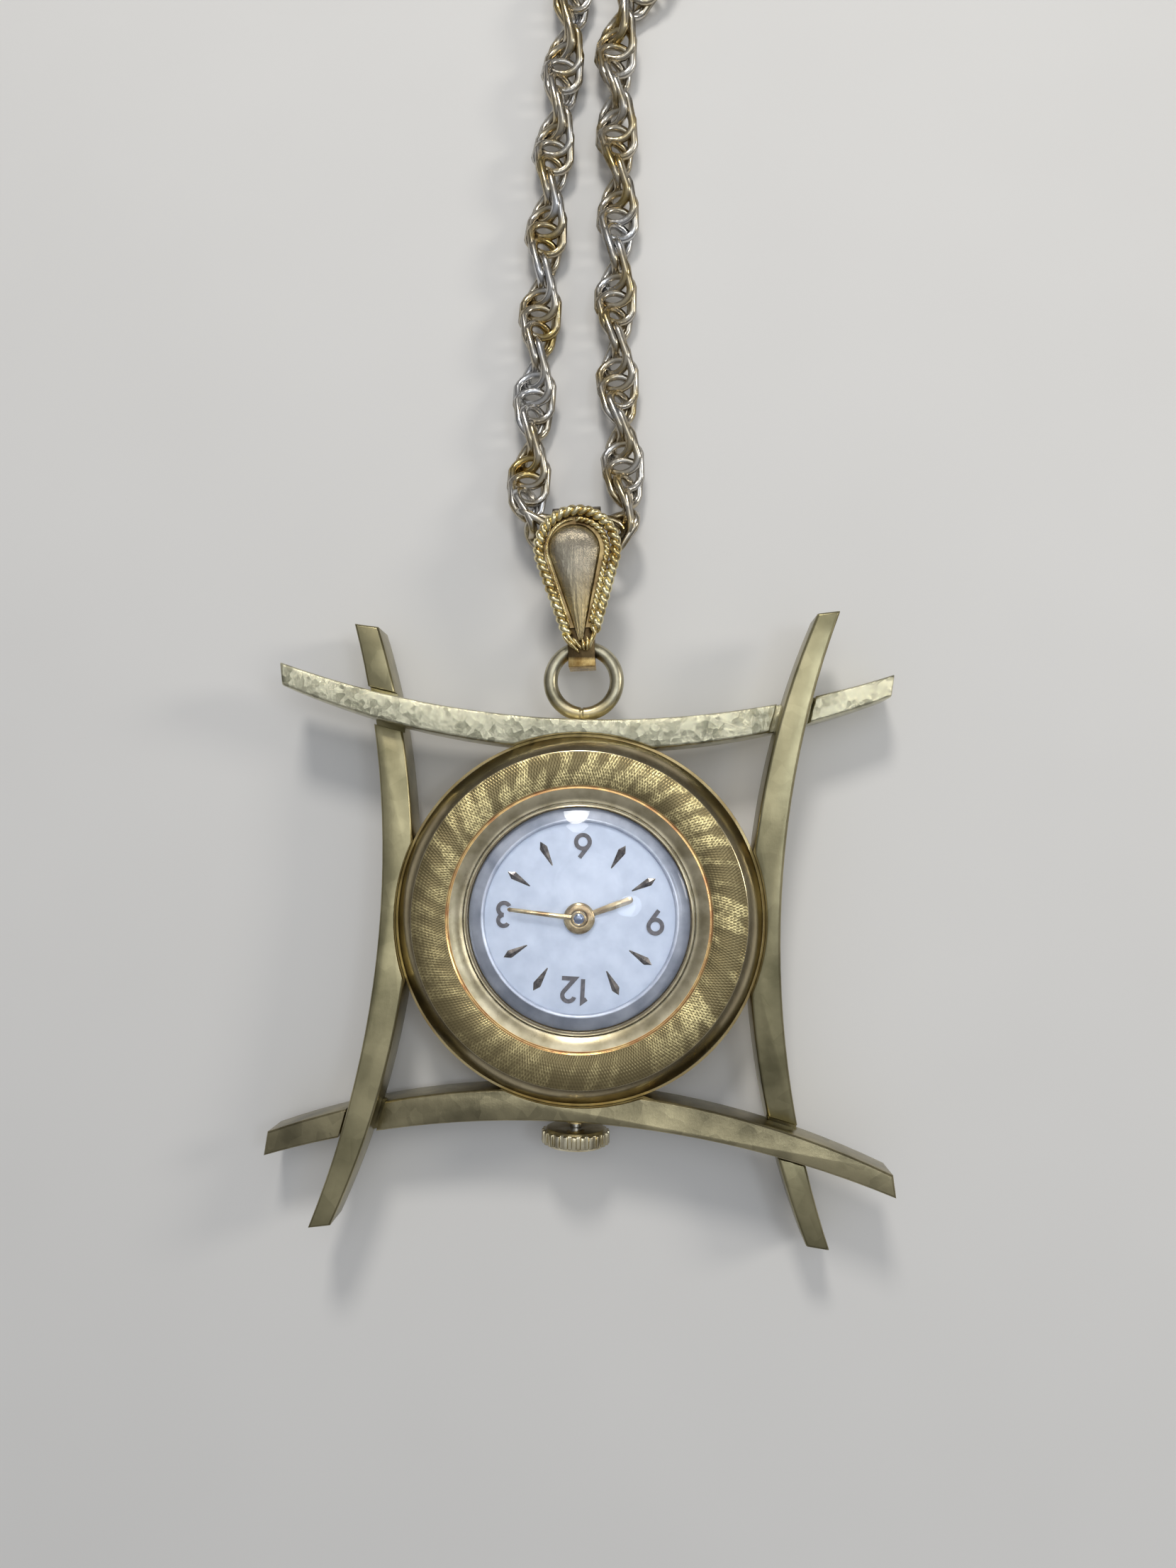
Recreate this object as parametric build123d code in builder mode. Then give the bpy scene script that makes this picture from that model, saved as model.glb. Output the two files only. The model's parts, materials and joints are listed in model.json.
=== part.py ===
from build123d import *
import math
import os

os.makedirs("parts", exist_ok=True)

# A hand-wound pendant watch, lying on its case back, with its bail and its necklace chain.
# The origin is on the case axis, on the surface that the watch lies on. +Z comes out of the
# dial and +Y runs from the case to the bail. All lengths are in millimetres.

# Clearances shared by all pieces
slip = 0.02  # a fixed piece in its seat
run_gap = 0.03  # a turning piece in its bearing
solder_gap = 0.03  # the film of solder between the case and the frame
cut_over = 0.5  # how far a cut overruns what it cuts

# Woven frame of four curved bars
bar_depth = 3.0
bar_rise = 3.4  # height of the middle of each bar
bar_step = 1.3  # how much higher the upper bar lies where two bars cross
bar_reach = 20.4  # from the case axis to a bar's end, along the bar
bar_cross = 13.6  # from the case axis to a crossing, along the bar
bar_outer = 13.13  # outer edge of a bar at its midpoint, from the case axis
bar_inner = 11.1  # inner edge there
bar_outer_radius = 63.0
bar_inner_radius = 54.0
bar_end_slant = 0.2  # a bar's end is cut a little aslant
bar_edge = 0.12  # broken long edges
lap_ledge = 0.35  # the lower notch is this much wider than the bar in it

# Case
seat_radius = 12.2  # case middle, soldered into the scallops of the bars
case_bottom = 0.7  # underside of the case middle
case_top = 4.35  # where the bezel sits on the case middle
case_bore = 8.6
case_bevel_radius = 11.3  # the underside's bevel starts here
case_bevel = 0.9
back_radius = 10.5
back_floor = 0.5  # thickness of the case back's floor
back_bevel = 0.3
snap_radius = 9.4  # bore that takes the snap rim of the case back
snap_wall = 0.4
snap_height = 0.5

# Bezel and crystal
bezel_radius = 12.0
bezel_wall = 0.25  # upright edge below the polished bevel
bezel_top = 5.6
bezel_flat_outer = 10.95  # the textured flat runs between these two radii
bezel_flat_inner = 8.6
bezel_eye = 7.6  # radius of the opening that holds the crystal
bezel_eye_height = 5.22  # where the polished inner slope ends
bezel_lip = 0.45  # depth of the lip under the slope
crystal_bottom = 4.87
crystal_shoulder = 5.3
crystal_top = 7.35
crystal_wall = 0.8
crystal_centre = 1.0  # thickness at the middle of the dome

# Crown, stem and the tube they run in
stem_height = 2.8
stem_radius = 0.35
tube_radius = 0.6
tube_bore = 0.43
tube_start = 10.6  # distance of the tube's inner end from the case axis
tube_end = 13.6
crown_radius = 2.25
crown_inner = 13.9  # distance of the crown's inner face from the case axis
crown_outer = 15.05
crown_ribs = 24
crown_rib_depth = 0.16
crown_edge = 0.18

# Movement levels, from the back to the dial
plate_radius = 7.5
plate_bottom = 2.7
plate_top = 3.9
bridge_bottom = 0.9
bridge_top = 1.6
bridge_radius = 7.4
dial_bottom = 4.45
dial_top = 4.75
dial_radius = 7.2


def save(piece, name):
    # every piece is written under the name of its node
    piece.part.label = name
    export_step(piece.part, "parts/" + name + ".step")


def turned_plane(turn, height):
    # a level plane whose X axis is turned by an angle in degrees about the case axis
    return Plane(
        origin=(0, 0, height),
        x_dir=(math.cos(math.radians(turn)), math.sin(math.radians(turn)), 0),
        z_dir=(0, 0, 1),
    )


def sagged(x, middle, radius, lean):
    # a bar's long edge: an arc that is nearest to the case at x = lean
    return middle + radius - math.sqrt(radius**2 - (x - lean) ** 2)


# The four bars. The end at -X of each bar's own plane lies over its neighbour, the end at +X
# under the other neighbour. Shares are of bar_reach: how far the bar leans along itself, and
# how long its upper and its lower end are.
bar_shares = {
    "top_bar": (0, 0.0, 0.99, 1.01),
    "right_bar": (-90, 0.015, 1.0, 1.03),
    "bottom_bar": (180, 0.06, 1.0, 1.01),
    "left_bar": (90, 0.07, 0.985, 0.955),
}
bar_above = {
    "top_bar": "right_bar",
    "right_bar": "bottom_bar",
    "bottom_bar": "left_bar",
    "left_bar": "top_bar",
}
bar_below = {above: name for name, above in bar_above.items()}


def bar_outline(name, swell):
    # a bar's outline seen from above, widened by swell along its two long edges
    turn, lean_share, over_share, under_share = bar_shares[name]
    lean = lean_share * bar_reach
    left = -over_share * bar_reach
    right = under_share * bar_reach
    left_foot = left + bar_end_slant
    right_foot = right - bar_end_slant

    def outer(x):
        return (x, sagged(x, bar_outer + swell, bar_outer_radius - swell, lean))

    def inner(x):
        return (x, sagged(x, bar_inner - swell, bar_inner_radius + swell, lean))

    with BuildSketch() as outline:
        with BuildLine():
            ThreePointArc(outer(left), outer(lean), outer(right))
            Line(outer(right), inner(right_foot))
            ThreePointArc(inner(right_foot), inner(lean), inner(left_foot))
            Line(inner(left_foot), outer(left))
        make_face()
    return outline.sketch


def tilted_plane(turn, height):
    # the top or bottom face of a bar, which rises towards the bar's upper end
    slope = bar_step / (2 * bar_cross)
    tilt = (slope * math.cos(math.radians(turn)), slope * math.sin(math.radians(turn)), 1)
    return Plane(origin=(0, 0, height), z_dir=tilt)


bar_ceiling = bar_rise + bar_depth
for bar_name, bar_turn_shares in bar_shares.items():
    bar_turn = bar_turn_shares[0]
    above = bar_above[bar_name]
    below = bar_below[bar_name]
    own_outline = bar_outline(bar_name, 0)
    above_outline = bar_outline(above, lap_ledge)
    below_outline = bar_outline(below, slip)
    with BuildPart() as bar:
        with BuildSketch(turned_plane(bar_turn, 0)):
            add(own_outline)
        extrude(amount=bar_ceiling)
        split(bisect_by=tilted_plane(bar_turn, bar_rise + bar_depth / 2), keep=Keep.BOTTOM)
        split(bisect_by=tilted_plane(bar_turn, bar_rise - bar_depth / 2), keep=Keep.TOP)
        chamfer(bar.faces().sort_by(Axis.Z)[-1].edges(), bar_edge)
        chamfer(bar.faces().sort_by(Axis.Z)[0].edges(), bar_edge)
        with BuildSketch(Plane.XY):
            Circle(seat_radius + solder_gap)
        extrude(amount=bar_ceiling, mode=Mode.SUBTRACT)
        # the notch in the top, for the bar that crosses over this one
        with BuildSketch(turned_plane(bar_shares[above][0], bar_rise)):
            add(above_outline)
        extrude(amount=bar_depth, mode=Mode.SUBTRACT)
        # the notch in the underside, for the bar that crosses under this one
        with BuildSketch(turned_plane(bar_shares[below][0], bar_rise)):
            add(below_outline)
        extrude(amount=-bar_depth, mode=Mode.SUBTRACT)
        if bar_name == "bottom_bar":
            with BuildSketch(Plane.XZ.offset(bar_inner - cut_over)):
                with Locations((0, stem_height)):
                    Circle(tube_radius + slip)
            extrude(amount=bar_outer - bar_inner + 2 * cut_over, mode=Mode.SUBTRACT)
    save(bar, bar_name)

with BuildPart() as case_middle:
    with BuildSketch(Plane.XZ):
        with BuildLine():
            Polyline(
                (snap_radius, case_bottom),
                (case_bevel_radius, case_bottom),
                (seat_radius, case_bottom + case_bevel),
                (seat_radius, case_top),
                (case_bore, case_top),
                (case_bore, case_bottom + snap_height + slip),
                (snap_radius, case_bottom + snap_height + slip),
                close=True,
            )
        make_face()
    revolve(axis=Axis.Z)
    with BuildSketch(Plane.XZ.offset(case_bore - cut_over)):
        with Locations((0, stem_height)):
            Circle(tube_radius + slip)
    extrude(amount=seat_radius - case_bore + 2 * cut_over, mode=Mode.SUBTRACT)
save(case_middle, "case_middle")

with BuildPart() as case_back:
    with BuildSketch(Plane.XY):
        Circle(back_radius)
    extrude(amount=case_bottom)
    chamfer(case_back.faces().sort_by(Axis.Z)[0].edges(), back_bevel)
    with BuildSketch(Plane.XY.offset(case_bottom)):
        Circle(snap_radius - slip)
    extrude(amount=snap_height)
    with BuildSketch(Plane.XY.offset(back_floor)):
        Circle(snap_radius - slip - snap_wall)
    extrude(amount=case_bottom, mode=Mode.SUBTRACT)
save(case_back, "case_back")

with BuildPart() as stem_tube:
    with BuildSketch(Plane.XZ.offset(tube_start)):
        with Locations((0, stem_height)):
            Circle(tube_radius)
            Circle(tube_bore, mode=Mode.SUBTRACT)
    extrude(amount=tube_end - tube_start)
save(stem_tube, "stem_tube")

with BuildPart() as bezel:
    with BuildSketch(Plane.XZ):
        with BuildLine():
            Polyline(
                (case_bore, case_top),
                (bezel_radius, case_top),
                (bezel_radius, case_top + bezel_wall),
                (bezel_flat_outer, bezel_top),
                (bezel_flat_inner, bezel_top),
                (bezel_eye, bezel_eye_height),
                (bezel_eye, bezel_eye_height - bezel_lip),
                (case_bore, bezel_eye_height - bezel_lip),
                close=True,
            )
        make_face()
    revolve(axis=Axis.Z)
save(bezel, "bezel")

crystal_radius = bezel_eye - slip
crystal_inside = crystal_radius - crystal_wall
dome_rise = crystal_top - crystal_shoulder
dome_radius = (crystal_radius**2 + dome_rise**2) / (2 * dome_rise)
hollow_top = crystal_top - crystal_centre
hollow_rise = hollow_top - crystal_bottom
hollow_radius = (crystal_inside**2 + hollow_rise**2) / (2 * hollow_rise)
dome_half = math.asin(crystal_radius / dome_radius) / 2
hollow_half = math.asin(crystal_inside / hollow_radius) / 2


def on_dome(radius, top, angle):
    # a point of a dome's half section, the angle measured from the case axis
    return (radius * math.sin(angle), top - radius + radius * math.cos(angle))


with BuildPart() as crystal:
    with BuildSketch(Plane.XZ):
        with BuildLine():
            Line((0, hollow_top), (0, crystal_top))
            ThreePointArc(
                (0, crystal_top),
                on_dome(dome_radius, crystal_top, dome_half),
                (crystal_radius, crystal_shoulder),
            )
            Line((crystal_radius, crystal_shoulder), (crystal_radius, crystal_bottom))
            Line((crystal_radius, crystal_bottom), (crystal_inside, crystal_bottom))
            ThreePointArc(
                (crystal_inside, crystal_bottom),
                on_dome(hollow_radius, hollow_top, hollow_half),
                (0, hollow_top),
            )
        make_face()
    revolve(axis=Axis.Z)
save(crystal, "crystal")

# Movement. Every wheel has a level between the bridges and the main plate.
addendum_share = 0.9  # tooth height above the pitch circle, in modules
dedendum_share = 1.15  # tooth depth below it, in modules
tooth_tip_share = 0.1  # half the width of a tooth at its tip, in pitches
tooth_root_share = 0.24  # half the width at its root, in pitches
wheel_thick = 0.14
level_gap = 0.05  # between the plates and the shoulders of the arbors
pivot_radius = 0.09
arbor_radius = 0.16
pivot_reach = 0.4  # how far a pivot runs into its plate

barrel_teeth, centre_pinion_teeth = 72, 9
centre_teeth, third_pinion_teeth = 64, 8
third_teeth, fourth_pinion_teeth = 60, 8
fourth_teeth, escape_pinion_teeth = 60, 6
escape_teeth = 15
barrel_module = 0.0806
centre_module = 0.075
third_module = 0.065
fourth_module = 0.058
escape_radius = 1.2
escape_root_share = 0.78
pallet_distance = 1.55  # from the escape arbor to the pallet arbor
balance_radius = 2.0
balance_rim = 0.28

# Motion work and winding work
cannon_teeth, minute_wheel_teeth = 10, 30
minute_pinion_teeth, hour_wheel_teeth = 8, 32
setting_wheel_teeth = 18
motion_module = 0.07
ratchet_teeth, crown_wheel_teeth = 50, 32
winding_module = 0.1
winding_pinion_teeth = 15
winding_pinion_module = 0.066
crown_teeth_radius = 1.0  # ring of crown teeth under the crown wheel
crown_pull = 0.7


def polar(radius, angle, start=(0, 0)):
    # a point at a distance and an angle in degrees from a start
    turn = math.radians(angle)
    return (start[0] + radius * math.cos(turn), start[1] + radius * math.sin(turn))


def level(place, height):
    return Plane(origin=(place[0], place[1], height))


def bearing(start, end):
    return math.degrees(math.atan2(end[1] - start[1], end[0] - start[0]))


def centre_distance(module, first_teeth, second_teeth):
    return module * (first_teeth + second_teeth) / 2


def meshed(start, start_teeth, start_phase, end, end_teeth):
    # the phase in degrees that sets a gear's gaps opposite the teeth of the gear it meets
    line = bearing(start, end)
    share = ((line - start_phase) * start_teeth / 360) % 1
    return line + 180 - (0.5 - share) * 360 / end_teeth


def gear_outline(module, teeth, phase):
    tip = module * (teeth / 2 + addendum_share)
    root = module * (teeth / 2 - dedendum_share)
    corners = (
        (root, -tooth_root_share),
        (tip, -tooth_tip_share),
        (tip, tooth_tip_share),
        (root, tooth_root_share),
    )
    points = [
        polar(radius, phase + (tooth + share) * 360 / teeth)
        for tooth in range(teeth)
        for radius, share in corners
    ]
    with BuildSketch() as outline:
        with BuildLine():
            Polyline(*points, close=True)
        make_face()
    return outline.sketch


def disc_outline(radius, bore=0):
    with BuildSketch() as outline:
        Circle(radius)
        if bore:
            Circle(bore, mode=Mode.SUBTRACT)
    return outline.sketch


def stacked(place, slices):
    # a turned or cut piece made of level slices, each an outline with its bottom and top
    with BuildPart() as piece:
        for outline, low, high in slices:
            with BuildSketch(level(place, low)):
                add(outline)
            extrude(amount=high - low)
    return piece


# Where the arbors stand
centre_place = (0, 0)
barrel_place = polar(centre_distance(barrel_module, barrel_teeth, centre_pinion_teeth), 200)
third_place = polar(centre_distance(centre_module, centre_teeth, third_pinion_teeth), 60)
fourth_place = polar(
    centre_distance(third_module, third_teeth, fourth_pinion_teeth), -20, third_place
)
escape_place = polar(
    centre_distance(fourth_module, fourth_teeth, escape_pinion_teeth), -60, fourth_place
)
balance_place_shares = (0.467, -0.52)  # of the plate's radius
balance_place = tuple(share * plate_radius for share in balance_place_shares)
pallet_place = polar(pallet_distance, bearing(escape_place, balance_place), escape_place)
winding_distance = centre_distance(winding_module, ratchet_teeth, crown_wheel_teeth)
crown_wheel_drop = math.sqrt(winding_distance**2 - barrel_place[0] ** 2)
crown_wheel_place = (0, barrel_place[1] - crown_wheel_drop)
motion_distance = centre_distance(motion_module, cannon_teeth, minute_wheel_teeth)
setting_distance = centre_distance(motion_module, setting_wheel_teeth, minute_wheel_teeth)
setting_place_share = 0.336
setting_place = (0, -setting_place_share * plate_radius)
setting_reach = -setting_place[1]
minute_sine = (motion_distance**2 + setting_reach**2 - setting_distance**2) / (
    2 * motion_distance * setting_reach
)
minute_place = polar(motion_distance, -math.degrees(math.asin(minute_sine)))

# Levels of the wheels
arbor_low = bridge_top + level_gap
arbor_high = plate_bottom - level_gap
wheel_gap = 0.08  # between a wheel and the plate or wheel it passes
barrel_height = 0.68
barrel_skirt = 0.27  # from the drum's lower end to its teeth
barrel_teeth_thick = 0.26
fourth_gap = 0.2
barrel_low = bridge_top + wheel_gap
barrel_high = barrel_low + barrel_height
barrel_teeth_low = barrel_low + barrel_skirt
barrel_teeth_high = barrel_teeth_low + barrel_teeth_thick
centre_low = barrel_high + wheel_gap
third_low = barrel_low + wheel_gap
fourth_low = third_low + wheel_thick + fourth_gap
escape_low = third_low
pinion_over = 0.05  # a pinion is this much longer than the wheel it meets, at each end

# Phases that bring every tooth opposite a gap
barrel_phase = 0
centre_pinion_phase = meshed(
    barrel_place, barrel_teeth, barrel_phase, centre_place, centre_pinion_teeth
)
centre_phase = 0
third_pinion_phase = meshed(
    centre_place, centre_teeth, centre_phase, third_place, third_pinion_teeth
)
third_phase = 0
fourth_pinion_phase = meshed(
    third_place, third_teeth, third_phase, fourth_place, fourth_pinion_teeth
)
fourth_phase = 0
escape_pinion_phase = meshed(
    fourth_place, fourth_teeth, fourth_phase, escape_place, escape_pinion_teeth
)
cannon_phase = 0
minute_phase = meshed(
    centre_place, cannon_teeth, cannon_phase, minute_place, minute_wheel_teeth
)
setting_phase = meshed(
    minute_place, minute_wheel_teeth, minute_phase, setting_place, setting_wheel_teeth
)
hour_phase = 0
minute_pinion_phase = meshed(
    centre_place, hour_wheel_teeth, hour_phase, minute_place, minute_pinion_teeth
)
ratchet_phase = 0
crown_wheel_phase = meshed(
    barrel_place, ratchet_teeth, ratchet_phase, crown_wheel_place, crown_wheel_teeth
)


window_share = 0.24  # of the wheel's pitch radius
window_place_share = 0.55
escape_window_share = 0.16
escape_window_place_share = 0.45


def wheel_outline(module, teeth, phase):
    # a train wheel: toothed rim, hub and four windows
    pitch_radius = module * teeth / 2
    window_radius = window_share * pitch_radius
    with BuildSketch() as outline:
        add(gear_outline(module, teeth, phase))
        with PolarLocations(window_place_share * pitch_radius, 4):
            Circle(window_radius, mode=Mode.SUBTRACT)
    return outline.sketch


def train_wheel(place, wheel, wheel_low, pinion, pinion_low, pinion_high):
    pivot_low = bridge_top - pivot_reach
    pivot_high = plate_bottom + pivot_reach
    slices = (
        (wheel, wheel_low, wheel_low + wheel_thick),
        (pinion, pinion_low, pinion_high),
        (disc_outline(arbor_radius), arbor_low, arbor_high),
        (disc_outline(pivot_radius), pivot_low, pivot_high),
    )
    return stacked(place, slices)


third_wheel = train_wheel(
    third_place,
    wheel_outline(third_module, third_teeth, third_phase),
    third_low,
    gear_outline(centre_module, third_pinion_teeth, third_pinion_phase),
    centre_low - pinion_over,
    centre_low + wheel_thick + pinion_over,
)
save(third_wheel, "third_wheel")

fourth_wheel = train_wheel(
    fourth_place,
    wheel_outline(fourth_module, fourth_teeth, fourth_phase),
    fourth_low,
    gear_outline(third_module, fourth_pinion_teeth, fourth_pinion_phase),
    third_low - pinion_over,
    third_low + wheel_thick + pinion_over,
)
save(fourth_wheel, "fourth_wheel")

# Club-shaped teeth of the escape wheel
escape_points = []
for tooth in range(escape_teeth):
    for radius_share, turn_share in ((escape_root_share, 0.05), (1, 0.5), (1, 0.62), (0.8, 0.75)):
        turn = (tooth + turn_share) * 360 / escape_teeth
        escape_points.append(polar(radius_share * escape_radius, turn))
with BuildSketch() as escape_outline:
    with BuildLine():
        Polyline(*escape_points, close=True)
    make_face()
    with PolarLocations(escape_window_place_share * escape_radius, 4):
        Circle(escape_window_share * escape_radius, mode=Mode.SUBTRACT)
escape_wheel = train_wheel(
    escape_place,
    escape_outline.sketch,
    escape_low,
    gear_outline(fourth_module, escape_pinion_teeth, escape_pinion_phase),
    fourth_low - pinion_over,
    fourth_low + wheel_thick + pinion_over,
)
save(escape_wheel, "escape_wheel")

# The centre arbor carries the cannon pinion through the main plate
cannon_bore = 0.15
cannon_wall = 0.12
dial_side_gap = 0.05  # between the main plate and what turns on its dial side
cannon_teeth_thick = 0.17
hour_hand_gap = 0.2  # above the dial
minute_hand_gap = 0.55
hand_thick = 0.15
cannon_low = plate_top + dial_side_gap
cannon_teeth_high = cannon_low + cannon_teeth_thick
minute_hand_low = dial_top + minute_hand_gap
hour_hand_low = dial_top + hour_hand_gap
pipe_wall = 0.12
hour_pipe_bore = cannon_bore + cannon_wall + run_gap
hour_pipe_radius = hour_pipe_bore + pipe_wall
hour_wheel_gap = 0.28
minute_wheel_gap = 0.07
motion_thick = 0.13
hour_wheel_low = plate_top + hour_wheel_gap
hour_wheel_high = hour_wheel_low + motion_thick
minute_wheel_low = plate_top + minute_wheel_gap
minute_wheel_high = minute_wheel_low + motion_thick

centre_wheel = stacked(
    centre_place,
    (
        (
            wheel_outline(centre_module, centre_teeth, centre_phase),
            centre_low,
            centre_low + wheel_thick,
        ),
        (
            gear_outline(barrel_module, centre_pinion_teeth, centre_pinion_phase),
            barrel_teeth_low - pinion_over,
            centre_low,
        ),
        (disc_outline(arbor_radius), arbor_low, arbor_high),
        (disc_outline(cannon_bore - slip), bridge_top - pivot_reach, minute_hand_low),
    ),
)
save(centre_wheel, "centre_wheel")

with BuildSketch() as cannon_gear:
    add(gear_outline(motion_module, cannon_teeth, cannon_phase))
    Circle(cannon_bore, mode=Mode.SUBTRACT)
cannon_pinion = stacked(
    centre_place,
    (
        (cannon_gear.sketch, cannon_low, cannon_teeth_high),
        (
            disc_outline(cannon_bore + cannon_wall, cannon_bore),
            cannon_low,
            minute_hand_low + hand_thick,
        ),
    ),
)
save(cannon_pinion, "cannon_pinion")

with BuildSketch() as hour_gear:
    add(gear_outline(motion_module, hour_wheel_teeth, hour_phase))
    Circle(hour_pipe_bore, mode=Mode.SUBTRACT)
hour_wheel = stacked(
    centre_place,
    (
        (hour_gear.sketch, hour_wheel_low, hour_wheel_high),
        (
            disc_outline(hour_pipe_radius, hour_pipe_bore),
            hour_wheel_low,
            hour_hand_low + hand_thick,
        ),
    ),
)
save(hour_wheel, "hour_wheel")

motion_post_radius = 0.11
with BuildSketch() as minute_gear:
    add(gear_outline(motion_module, minute_wheel_teeth, minute_phase))
    Circle(motion_post_radius + run_gap, mode=Mode.SUBTRACT)
with BuildSketch() as minute_pinion_gear:
    add(gear_outline(motion_module, minute_pinion_teeth, minute_pinion_phase))
    Circle(motion_post_radius + run_gap, mode=Mode.SUBTRACT)
minute_wheel = stacked(
    minute_place,
    (
        (minute_gear.sketch, minute_wheel_low, minute_wheel_high),
        (minute_pinion_gear.sketch, minute_wheel_high, hour_wheel_high + pinion_over),
    ),
)
save(minute_wheel, "minute_wheel")

# The setting wheel stands in a hole of the main plate, within reach of the clutch
setting_rise = 0.2  # of the wheel above the stem's middle
setting_low = stem_height + setting_rise
setting_post_radius = 0.14
with BuildSketch() as setting_gear:
    add(gear_outline(motion_module, setting_wheel_teeth, setting_phase))
    Circle(setting_post_radius + run_gap, mode=Mode.SUBTRACT)
setting_wheel = stacked(setting_place, ((setting_gear.sketch, setting_low, minute_wheel_high),))
save(setting_wheel, "setting_wheel")

# Barrel: toothed drum with its cover, arbor and mainspring
drum_share = 0.9  # of the teeth's pitch radius
drum_radius = drum_share * barrel_module * barrel_teeth / 2
drum_wall = 0.15
drum_floor = 0.09
barrel_hub_radius = 0.55
barrel_arbor_radius = 0.3
with BuildPart() as barrel_drum:
    with BuildSketch(level(barrel_place, barrel_low)):
        Circle(drum_radius)
    extrude(amount=barrel_high - barrel_low)
    with BuildSketch(level(barrel_place, barrel_teeth_low)):
        add(gear_outline(barrel_module, barrel_teeth, barrel_phase))
    extrude(amount=barrel_teeth_high - barrel_teeth_low)
    with BuildSketch(level(barrel_place, barrel_low)):
        Circle(drum_radius - drum_wall)
    extrude(amount=barrel_high - barrel_low - drum_floor, mode=Mode.SUBTRACT)
    with BuildSketch(level(barrel_place, barrel_low)):
        Circle(barrel_arbor_radius + run_gap)
    extrude(amount=barrel_high - barrel_low + cut_over, mode=Mode.SUBTRACT)
save(barrel_drum, "barrel_drum")

barrel_cover = stacked(
    barrel_place,
    (
        (
            disc_outline(drum_radius - drum_wall - slip, barrel_arbor_radius + run_gap),
            barrel_low,
            barrel_low + drum_floor,
        ),
    ),
)
save(barrel_cover, "barrel_cover")

winding_drop = 0.28  # of the winding wheels below the barrel bridge
winding_thick = 0.23
winding_low = bridge_bottom - winding_drop
barrel_arbor = stacked(
    barrel_place,
    (
        (disc_outline(barrel_arbor_radius), winding_low, plate_bottom + pivot_reach),
        (
            disc_outline(barrel_hub_radius),
            barrel_low + drum_floor + level_gap,
            barrel_high - drum_floor - level_gap,
        ),
    ),
)
save(barrel_arbor, "barrel_arbor")


def spiral_sketch(start_radius, pitch, half_turns, width):
    # a flat spring: half circles whose centres step from side to side
    with BuildSketch() as outline:
        with BuildLine():
            for half in range(half_turns):
                radius = start_radius + half * pitch / 2
                side = 1 if half % 2 == 0 else -1
                middle = 0 if half % 2 == 0 else -pitch / 2
                CenterArc((middle, 0), radius, 0 if side > 0 else 180, 180)
        trace(line_width=width)
    return outline.sketch


spring_turns = 5
spring_thick = 0.09
spring_inner = barrel_hub_radius + 2 * spring_thick
spring_outer = drum_radius - drum_wall - 2 * spring_thick
spring_pitch = (spring_outer - spring_inner) / spring_turns
mainspring = stacked(
    barrel_place,
    (
        (
            spiral_sketch(spring_inner, spring_pitch, 2 * spring_turns, spring_thick),
            barrel_low + drum_floor + level_gap,
            barrel_high - drum_floor - level_gap,
        ),
    ),
)
save(mainspring, "mainspring")

# Winding wheels on the back of the barrel bridge
ratchet_wheel = stacked(
    barrel_place,
    (
        (
            gear_outline(winding_module, ratchet_teeth, ratchet_phase)
            - disc_outline(barrel_arbor_radius + slip),
            winding_low,
            winding_low + winding_thick,
        ),
    ),
)
save(ratchet_wheel, "ratchet_wheel")

# Crown wheel: a cup whose drum turns in the barrel bridge, with crown teeth on its rim
crown_teeth = 30
crown_teeth_depth = 0.11
crown_teeth_width = 0.09
drum_lip = 0.25
winding_pitch_radius = winding_pinion_module * winding_pinion_teeth / 2
crown_wheel_top = stem_height - winding_pitch_radius
with BuildPart() as crown_wheel:
    with BuildSketch(level(crown_wheel_place, winding_low)):
        add(gear_outline(winding_module, crown_wheel_teeth, crown_wheel_phase))
    extrude(amount=winding_thick)
    with BuildSketch(level(crown_wheel_place, winding_low)):
        Circle(crown_teeth_radius)
    extrude(amount=crown_wheel_top - crown_teeth_depth - winding_low)
    with BuildSketch(level(crown_wheel_place, crown_wheel_top - crown_teeth_depth)):
        with PolarLocations(crown_teeth_radius - drum_lip / 2, crown_teeth):
            Rectangle(drum_lip, crown_teeth_width)
    extrude(amount=crown_teeth_depth)
    with BuildSketch(level(crown_wheel_place, winding_low + 2 * winding_thick)):
        Circle(crown_teeth_radius - drum_lip)
    extrude(amount=crown_wheel_top, mode=Mode.SUBTRACT)
save(crown_wheel, "crown_wheel")


def stem_plane(distance):
    # a plane across the stem, its Z axis pointing out of the case
    return Plane(origin=(0, -distance, stem_height), x_dir=(1, 0, 0), z_dir=(0, -1, 0))


def along_stem(slices):
    with BuildPart() as piece:
        for outline, start, end in slices:
            with BuildSketch(stem_plane(start)):
                add(outline)
            extrude(amount=end - start)
    return piece


def square_outline(side):
    with BuildSketch() as outline:
        Rectangle(side, side)
    return outline.sketch


# Winding pinion and clutch on the stem, distances from the case axis
pinion_inner = -crown_wheel_place[1] + crown_teeth_radius - drum_lip
winding_pinion_length = 0.9
pinion_outer = pinion_inner + winding_pinion_length
pinion_bore = 0.3
pinion_gap = 0.05
clutch_length = 0.86
clutch_outer = pinion_inner - pinion_gap
clutch_inner = clutch_outer - clutch_length
clutch_radius = 0.5
clutch_groove_radius = 0.28
clutch_groove = 0.3
square_side = 0.34
clutch_middle = (clutch_inner + clutch_outer) / 2
stem_groove_radius = 0.2
stem_groove = 0.3
stem_groove_share = 0.847  # of the plate's radius
stem_groove_middle = stem_groove_share * plate_radius
stem_end_gap = 0.1
stem_inner = clutch_inner + stem_end_gap

winding_pinion = along_stem(
    (
        (
            gear_outline(winding_pinion_module, winding_pinion_teeth, 0) - disc_outline(pinion_bore),
            pinion_inner,
            pinion_outer,
        ),
    )
)
save(winding_pinion, "winding_pinion")

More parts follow.
